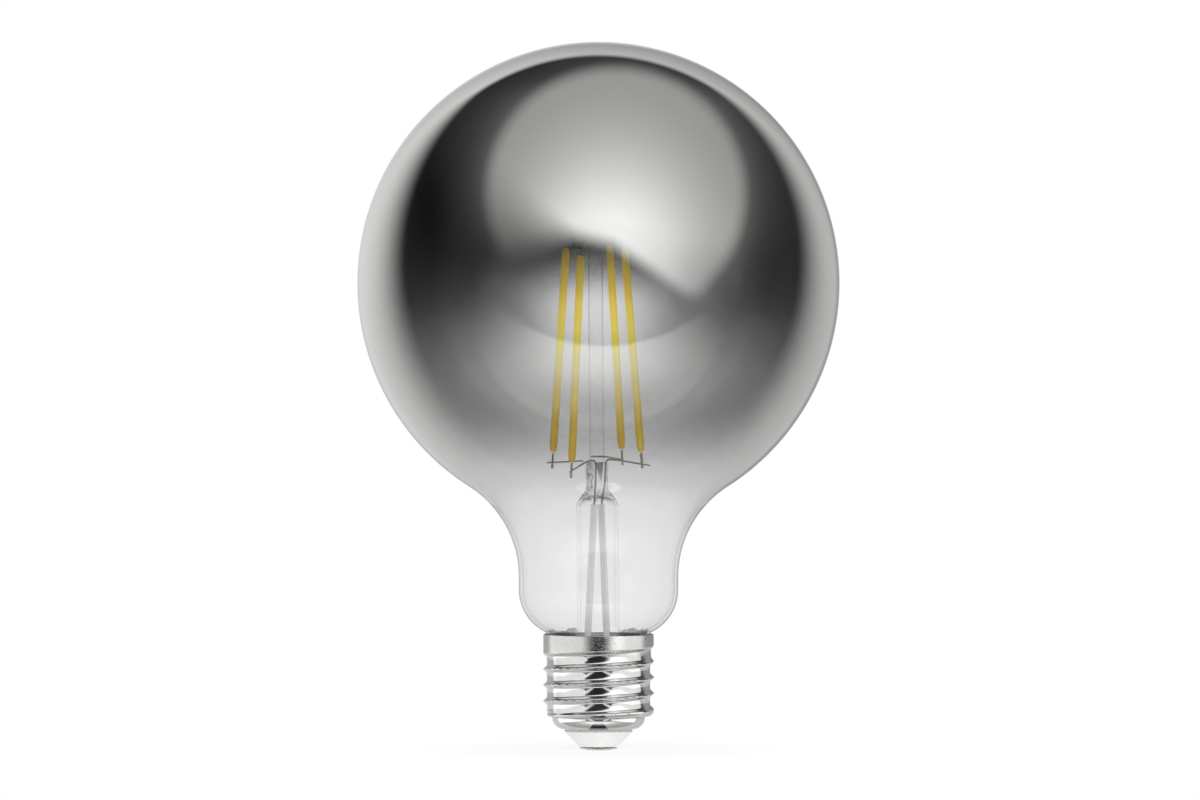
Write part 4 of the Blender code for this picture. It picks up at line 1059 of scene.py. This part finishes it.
# Insulator
# Opaque white glass or plastic, moulded under the shell's foot. It keeps the live contact apart
# from the shell.
INSULATOR_NECK_RADIUS = DOME_CENTRE_RADIUS - 0.3 * MM
INSULATOR_EDGE_RADIUS = INSULATOR_NECK_RADIUS + 0.2 * MM
INSULATOR_FOOT_RADIUS = 4.75 * MM
INSULATOR_FOOT_Z = 0.8 * MM
INSULATOR_FLANGE = 1.2 * MM
INSULATOR_LIP = 0.2 * MM
INSULATOR_ROUND = 0.25 * MM
PIECE_FIT = 0.3 * MM
CONTACT_STEM_RADIUS = 1.2 * MM

white = Finish("moulded_insulator", (0.86, 0.86, 0.85), 0.32)
white.mottle(white.noise(300.0, 3.0), (0.3, (0.83, 0.83, 0.82)), (0.7, (0.88, 0.88, 0.87)))
white.raise_by(white.noise(1400.0), 0.12, 0.05 * MM)
flange_z = SHELL_RIM_Z + SHELL_SHEET + PIECE_FIT
flange_radius = INSULATOR_NECK_RADIUS + 0.9 * MM
edge_z = SHELL_RIM_Z - PIECE_FIT
bore = CONTACT_STEM_RADIUS + PIECE_FIT
lip = arc((INSULATOR_EDGE_RADIUS - INSULATOR_LIP, edge_z - INSULATOR_LIP), INSULATOR_LIP,
          np.pi / 2, -0.6, 6)
foot = arc((INSULATOR_FOOT_RADIUS - INSULATOR_ROUND, INSULATOR_FOOT_Z + INSULATOR_ROUND),
           INSULATOR_ROUND, -0.6, -np.pi / 2, 6)
section = np.concatenate([
    [[flange_radius, flange_z + INSULATOR_FLANGE], [flange_radius, flange_z + PIECE_FIT],
     [INSULATOR_NECK_RADIUS, flange_z], [INSULATOR_NECK_RADIUS, edge_z]],
    lip, foot, [[bore, INSULATOR_FOOT_Z], [bore, flange_z + INSULATOR_FLANGE],
                [flange_radius, flange_z + INSULATOR_FLANGE]],
])
add_piece("white_insulator", turn_section(section, 120), white.material, "insulator")


# Centre contact
# A brass button with a tin face, pressed into the insulator and crimped to the live wire.
CONTACT_RADIUS = 4.55 * MM
CONTACT_FLAT_RADIUS = 2.6 * MM
CONTACT_THICKNESS = 0.5 * MM
CONTACT_STEM_TOP_Z = 4.3 * MM

tin = Finish("tinned_contact", (0.78, 0.77, 0.74), 0.3, 1.0)
wear = tin.noise(520.0, 5.0)
tin.mottle(wear, (0.3, (0.68, 0.67, 0.64)), (0.7, (0.86, 0.85, 0.82)))
tin.set("Roughness", wear.ramp(0.3, 0.7, 0.22, 0.42))
tin.raise_by(tin.noise(2600.0), 0.2, 0.05 * MM)
t = np.linspace(0.0, 1.0, 10)
slope = joined(CONTACT_RADIUS + (CONTACT_FLAT_RADIUS - CONTACT_RADIUS) * t,
               0.35 * MM * (1.0 - np.sin(t * np.pi / 2)))
section = np.concatenate([
    [[0.0, CONTACT_STEM_TOP_Z], [CONTACT_STEM_RADIUS, CONTACT_STEM_TOP_Z],
     [CONTACT_STEM_RADIUS, CONTACT_THICKNESS], [CONTACT_RADIUS - 0.08 * MM, CONTACT_THICKNESS],
     [CONTACT_RADIUS, CONTACT_THICKNESS - 0.08 * MM]],
    slope, [[0.0, 0.0]],
])
add_piece("contact_button", turn_section(section, 96), tin.material, "centre_contact")


# Driver inside the cap
# A small board with its parts soldered on, and two supply wires. The CAD solids stay, and each
# takes the finish of the real part.
def dress(node, finish):
    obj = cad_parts[node]
    obj.data.materials.clear()
    obj.data.materials.append(finish)


def speckled(name, dark, pale, roughness, metallic=0.0):
    """A moulded or lacquered surface: two close colours in fine cloud, with a slight bump."""
    paint = Finish(name, pale, roughness, metallic)
    cloud = paint.noise(900.0, 5.0)
    paint.mottle(cloud, (0.35, dark), (0.65, pale))
    paint.raise_by(cloud, 0.25, 0.05 * MM)
    return paint.material


RESIN = speckled("black_resin", (0.015, 0.015, 0.015), (0.035, 0.035, 0.035), 0.5)
for node, finish, slot in (
    ("driver_board",
     speckled("green_board", (0.02, 0.14, 0.05), (0.05, 0.24, 0.09), 0.4), "green_board"),
    ("bridge_rectifier", RESIN, "black_resin"),
    ("driver_chip", RESIN, "black_resin"),
    ("electrolytic_capacitor",
     speckled("capacitor_sleeve", (0.02, 0.02, 0.05), (0.05, 0.05, 0.1), 0.3), "capacitor_case"),
    ("fusible_resistor",
     speckled("resistor_lacquer", (0.12, 0.26, 0.2), (0.25, 0.42, 0.33), 0.45), "resistor_lacquer"),
    ("inductor",
     speckled("copper_winding", (0.4, 0.16, 0.06), (0.72, 0.36, 0.18), 0.35, 1.0), "copper_winding"),
    ("live_wire", WIRE_METAL, "lead_metal"),
    ("neutral_wire", WIRE_METAL, "lead_metal"),
):
    dress(node, finish)


# Floor
# A white round table. It glows like the surroundings, and only a small share of it, near the bulb,
# takes the bulb's soft shadow.
FLOOR_RADIUS = 0.9
FLOOR_Z = -0.05 * MM
SHADOW_SHARE = 0.1
SHADOW_NEAR = 8.0 * MM
SHADOW_FAR = 50.0 * MM

angle = np.linspace(0.0, TURN, 96, endpoint=False)
rim = joined(FLOOR_RADIUS * np.cos(angle), FLOOR_RADIUS * np.sin(angle), FLOOR_Z)
floor_mesh = bpy.data.meshes.new("floor")
floor_mesh.from_pydata(rim.tolist(), [], [list(range(96))])
floor = placed("floor", floor_mesh)
floor.visible_glossy = False
floor.visible_shadow = False
pale = bpy.data.materials.new("pale_floor")
pale.use_nodes = True
tree = pale.node_tree
tree.nodes.clear()
x, y = lay(tree, "ShaderNodeTexCoord", "Object").parts()[:2]
shaded = (x * x + y * y).root().ramp(SHADOW_NEAR, SHADOW_FAR, SHADOW_SHARE, 0.0)
glow = lay(tree, "ShaderNodeEmission", "Emission", Color=(1.0, 1.0, 1.0, 1.0))
matt = lay(tree, "ShaderNodeBsdfDiffuse", "BSDF", Color=(0.9, 0.9, 0.9, 1.0))
blend = tree.nodes.new("ShaderNodeMixShader")
for socket, value in zip(blend.inputs, (shaded, glow, matt)):
    feed(tree, socket, value)
out = tree.nodes.new("ShaderNodeOutputMaterial")
feed(tree, out.inputs["Surface"], Value(tree, blend.outputs[0]))
floor_mesh.materials.append(pale)


# Studio light
# A round soft box hangs over the bulb and in front of it, a lower light lies on the table in front,
# dark walls stand at both sides, and a white backdrop wraps round from behind. All are drawn on the
# world in the coordinates of a mirror ball: u to the right and v up, both 1 at the ball's rim.
# A pair named for an edge is its place and half its width. A spot is its u, width, v and width.
# Only reflections and lit surfaces take this room: seen straight on, it is plain white.
RIM_START = 0.9125
RIM_START_V = -0.005
RIM_START_V2 = 0.0315
RIM_START_LEFT = 0.02
RIM_SOFT = 0.107
RIM_SOFT_V = -0.12
RIM_SOFT_LEFT = 0.07
RIM_SOFT_LEAST = 0.01
FAR_LEFT_U = -0.5
BACK = 1.165
BACK_RIM = 0.9
BACK_R = -4.76
BACK_U = -0.162
BACK_V = -0.37
LEVEL_EDGE = (0.991, 0.009)
LINE_START_EDGE = (0.986, 0.008)
LINE_END_EDGE = (0.9965, 0.0035)
LINE_SIDE_EDGE = (0.4, 0.3)
LINE_DEPTH = 0.45
BOX_PLACE = (0.0706, 0.359)
BOX_EDGE = (0.52, 0.041)
BOX_SPILL = 0.386
BOX_FALL = 0.077
SPILL_TOP_EDGE = (0.8, 0.08)
SPILL_TOP_LOSS = 0.6
BOX_FOOT_U = 0.06
BOX_FOOT_V = 0.151
BOX_FOOT_RIGHT = 0.672
BOX_FOOT_LEFT = 0.238
BOX_FOOT_SOFT = 0.053
BOX_FOOT_SOFT_LEFT = 0.76
BOX_FOOT_SOFT_U = -0.1
BOX_LEVEL = 0.358
BOX_PEAK = 1.147
BOX_SPOT = (0.057, 0.336, 0.0175, 0.463)
CORNER_SIDE_EDGE = (0.34, 0.1)
CORNER_TOP_EDGE = (0.08, 0.14)
CORNER_LOSS = 0.35
LENS_PLACE = (0.02, 0.38)
LENS_EDGE = (0.645, 0.012)
LOW_LEVEL = 1.055
LOW_SPOT = (0.0, 0.319, -0.308, 0.151)
AMBIENT = 0.021
DEEP_SPOT = (-0.69, 0.1, 0.34, 0.3)
DEEP_LOSS = 0.75


def ease(value, middle, half_width):
    """0 to 1 in a smooth step across the middle."""
    return (value - middle).ramp(-half_width, half_width)


def distance(middle_u, middle_v):
    across, rise = ball_u - middle_u, ball_v - middle_v
    return (across * across + rise * rise).root()


def bell(middle_u, width_u, middle_v, width_v):
    """A soft spot: the exponential of less the square of the distance in widths."""
    across, rise = (ball_u - middle_u) / width_u, (ball_v - middle_v) / width_v
    return np.e ** -(across * across + rise * rise)


world = bpy.data.worlds.new("studio")
bpy.context.scene.world = world
world.use_nodes = True
tree = world.node_tree
right, back, up = lay(tree, "ShaderNodeTexCoord", "Generated").parts()
far = (2.0 - back * 2.0).at_least(0.0001).root()
ball_u, ball_v = right / far, up / far
ball_rim = distance(0.0, 0.0)

far_left = (FAR_LEFT_U - ball_u).at_least(0.0)
rim_start = ball_v * ball_v * RIM_START_V2 + ball_v * RIM_START_V + RIM_START
rim_start = rim_start - far_left * RIM_START_LEFT
rim_soft = (ball_v * RIM_SOFT_V + RIM_SOFT).at_least(RIM_SOFT_LEAST) + far_left * RIM_SOFT_LEFT
past_rim = ease(ball_rim, rim_start, rim_soft)
tilt = (ball_v * BACK_V + ball_u * BACK_U) * (1.0 - ease(ball_rim, *LEVEL_EDGE))
backdrop = tilt + (ball_rim - BACK_RIM) * BACK_R + BACK
thin_line = ease(ball_rim, *LINE_START_EDGE) * (1.0 - ease(ball_rim, *LINE_END_EDGE))
backdrop = backdrop * (1.0 - thin_line * ease(ball_u, *LINE_SIDE_EDGE) * LINE_DEPTH)

from_box = distance(*BOX_PLACE)
inside = 1.0 - ease(from_box, *BOX_EDGE)
spill = np.e ** -((from_box - BOX_EDGE[0]).at_least(0.0) / BOX_FALL) * BOX_SPILL
spill = spill * (1.0 - ease(ball_v, *SPILL_TOP_EDGE) * SPILL_TOP_LOSS)
shape = inside * (1.0 - spill) + spill
foot_v = BOX_FOOT_V - (ball_u - BOX_FOOT_U).at_least(0.0) * BOX_FOOT_RIGHT
foot_v = foot_v + (BOX_FOOT_U - ball_u).at_least(0.0) * BOX_FOOT_LEFT
foot_soft = (BOX_FOOT_SOFT_U - ball_u).at_least(0.0) * BOX_FOOT_SOFT_LEFT + BOX_FOOT_SOFT
corner = ease(ball_u, *CORNER_SIDE_EDGE) * (1.0 - ease(ball_v, *CORNER_TOP_EDGE))
level = (bell(*BOX_SPOT) * BOX_PEAK + BOX_LEVEL) * (1.0 - corner * CORNER_LOSS)
soft_box = level * shape * ease(ball_v, foot_v, foot_soft)

low_light = bell(*LOW_SPOT) * ease(distance(*LENS_PLACE), *LENS_EDGE) * LOW_LEVEL
ambient = (1.0 - bell(*DEEP_SPOT) * DEEP_LOSS) * AMBIENT
room = soft_box + low_light + ambient
mirrored = room + (backdrop - room) * past_rim
seen = lay(tree, "ShaderNodeLightPath", "Is Camera Ray").at_least(
    lay(tree, "ShaderNodeLightPath", "Is Transmission Ray")
)
feed(tree, tree.nodes["Background"].inputs["Color"], mirrored + (1.0 - mirrored) * seen)


# Lamps
# A soft fill hangs over the camera for the matt pieces, and no mirror shows it. The cap alone is lit
# by an upright and a slanted soft box at each side, and by white cards on the table with a slot
# between them.
FILL_LEVEL = 0.6
FILL_SIZE = 1.6
FILL_PLACE = (0.0, -1.9, 0.9)
CAP_BOX_LEVEL = 0.86
CAP_BOX_X = 0.12
CAP_BOX_FRONT = -0.207
CAP_BOX_TOP = 0.086
CAP_BOX_FOOT = -0.05
LEFT_BOX_BACK = 0.06
RIGHT_BOX_BACK = 0.032
SLANT_BOX_SIZE = (0.487, 0.06)
SLANT_BOX_PLACE = (-0.417, -0.097)
SLANT_BOX_ROLL = np.radians(30.5)
TABLE_LEVEL = 0.38
TABLE_REACH = 0.2
TABLE_FRONT = -0.037
TABLE_Z = -0.02 * MM
SLOT_HALF = 3.0 * MM
SLOT_FRONT = -0.02
BULB_MIDDLE = (0.0, 0.0, 0.09)


def soft_box_lamp(name, size, radiance, place, towards):
    """A rectangular lamp; its power is the radiance times pi times its area."""
    lamp = bpy.data.lights.new(name, "AREA")
    lamp.shape = "RECTANGLE"
    lamp.size, lamp.size_y = size
    lamp.energy = radiance * np.pi * size[0] * size[1]
    holder = placed(name, lamp)
    holder.location = place
    aim = mathutils.Vector(towards) - mathutils.Vector(place)
    holder.rotation_euler = aim.to_track_quat("-Z", "Y").to_euler()
    return holder


def radiance_for(level, size, place, target):
    """The radiance at which a square lamp lights a face turned to it at the level, as white at 1."""
    away = np.linalg.norm(np.subtract(place, target))
    return level * np.pi * away**2 / size**2


fill = soft_box_lamp("fill", (FILL_SIZE, FILL_SIZE),
                     radiance_for(FILL_LEVEL, FILL_SIZE, FILL_PLACE, BULB_MIDDLE),
                     FILL_PLACE, BULB_MIDDLE)
fill.visible_glossy = False
cap_pieces = bpy.data.collections.new("cap_pieces")
for name in ("plated_screw_shell", "white_insulator", "contact_button", "cement_ring"):
    cap_pieces.objects.link(bpy.data.objects[name])


def light_cap(name, size, radiance, place, towards, roll=0.0):
    """A soft box that only the cap sees, turned about its own line of sight by the roll."""
    box = soft_box_lamp(name, size, radiance, place, towards)
    box.rotation_euler.rotate_axis("Z", roll)
    box.visible_camera = False
    box.visible_diffuse = False
    box.light_linking.receiver_collection = cap_pieces


def table_card(name, left, right, front, back):
    """A card that lies on the table and lights the cap from below."""
    x, y = (left + right) / 2, (front + back) / 2
    light_cap(name, (right - left, back - front), TABLE_LEVEL, (x, y, TABLE_Z), (x, y, 1.0))


for name, side, back in (("left", -1.0, LEFT_BOX_BACK), ("right", 1.0, RIGHT_BOX_BACK)):
    middle_y, middle_z = (back + CAP_BOX_FRONT) / 2, (CAP_BOX_TOP + CAP_BOX_FOOT) / 2
    light_cap(f"cap_box_{name}", (back - CAP_BOX_FRONT, CAP_BOX_TOP - CAP_BOX_FOOT), CAP_BOX_LEVEL,
              (side * CAP_BOX_X, middle_y, middle_z), (0.0, middle_y, middle_z))
    light_cap(f"slant_box_{name}", SLANT_BOX_SIZE, CAP_BOX_LEVEL,
              (side * CAP_BOX_X, *SLANT_BOX_PLACE), (0.0, *SLANT_BOX_PLACE), side * SLANT_BOX_ROLL)
    left, right = sorted((side * SLOT_HALF, side * TABLE_REACH))
    table_card(f"table_card_{name}", left, right, SLOT_FRONT, TABLE_REACH)
table_card("table_card_front", -TABLE_REACH, TABLE_REACH, TABLE_FRONT, SLOT_FRONT)


# Camera
# A long lens, level with the middle of the bulb.
CAMERA_DISTANCE = 1.5
CAMERA_HEIGHT = 82.7 * MM
CAMERA_SIDE = 0.355 * MM
VIEW_WIDTH = 283.8 * MM
lens = bpy.data.cameras.new("camera")
lens.sensor_width = 36.0
lens.lens = 36.0 * CAMERA_DISTANCE / VIEW_WIDTH
lens.clip_start = 0.05
lens.clip_end = 20.0
camera = placed("camera", lens)
camera.location = (CAMERA_SIDE, -CAMERA_DISTANCE, CAMERA_HEIGHT)
camera.rotation_euler = (np.pi / 2, 0.0, 0.0)
bpy.context.scene.camera = camera
bpy.context.scene.view_settings.view_transform = "Standard"
# A sight line through globe, stem, exhaust tube and sleeve crosses more than twenty clear faces.
bpy.context.scene.cycles.transparent_max_bounces = 40
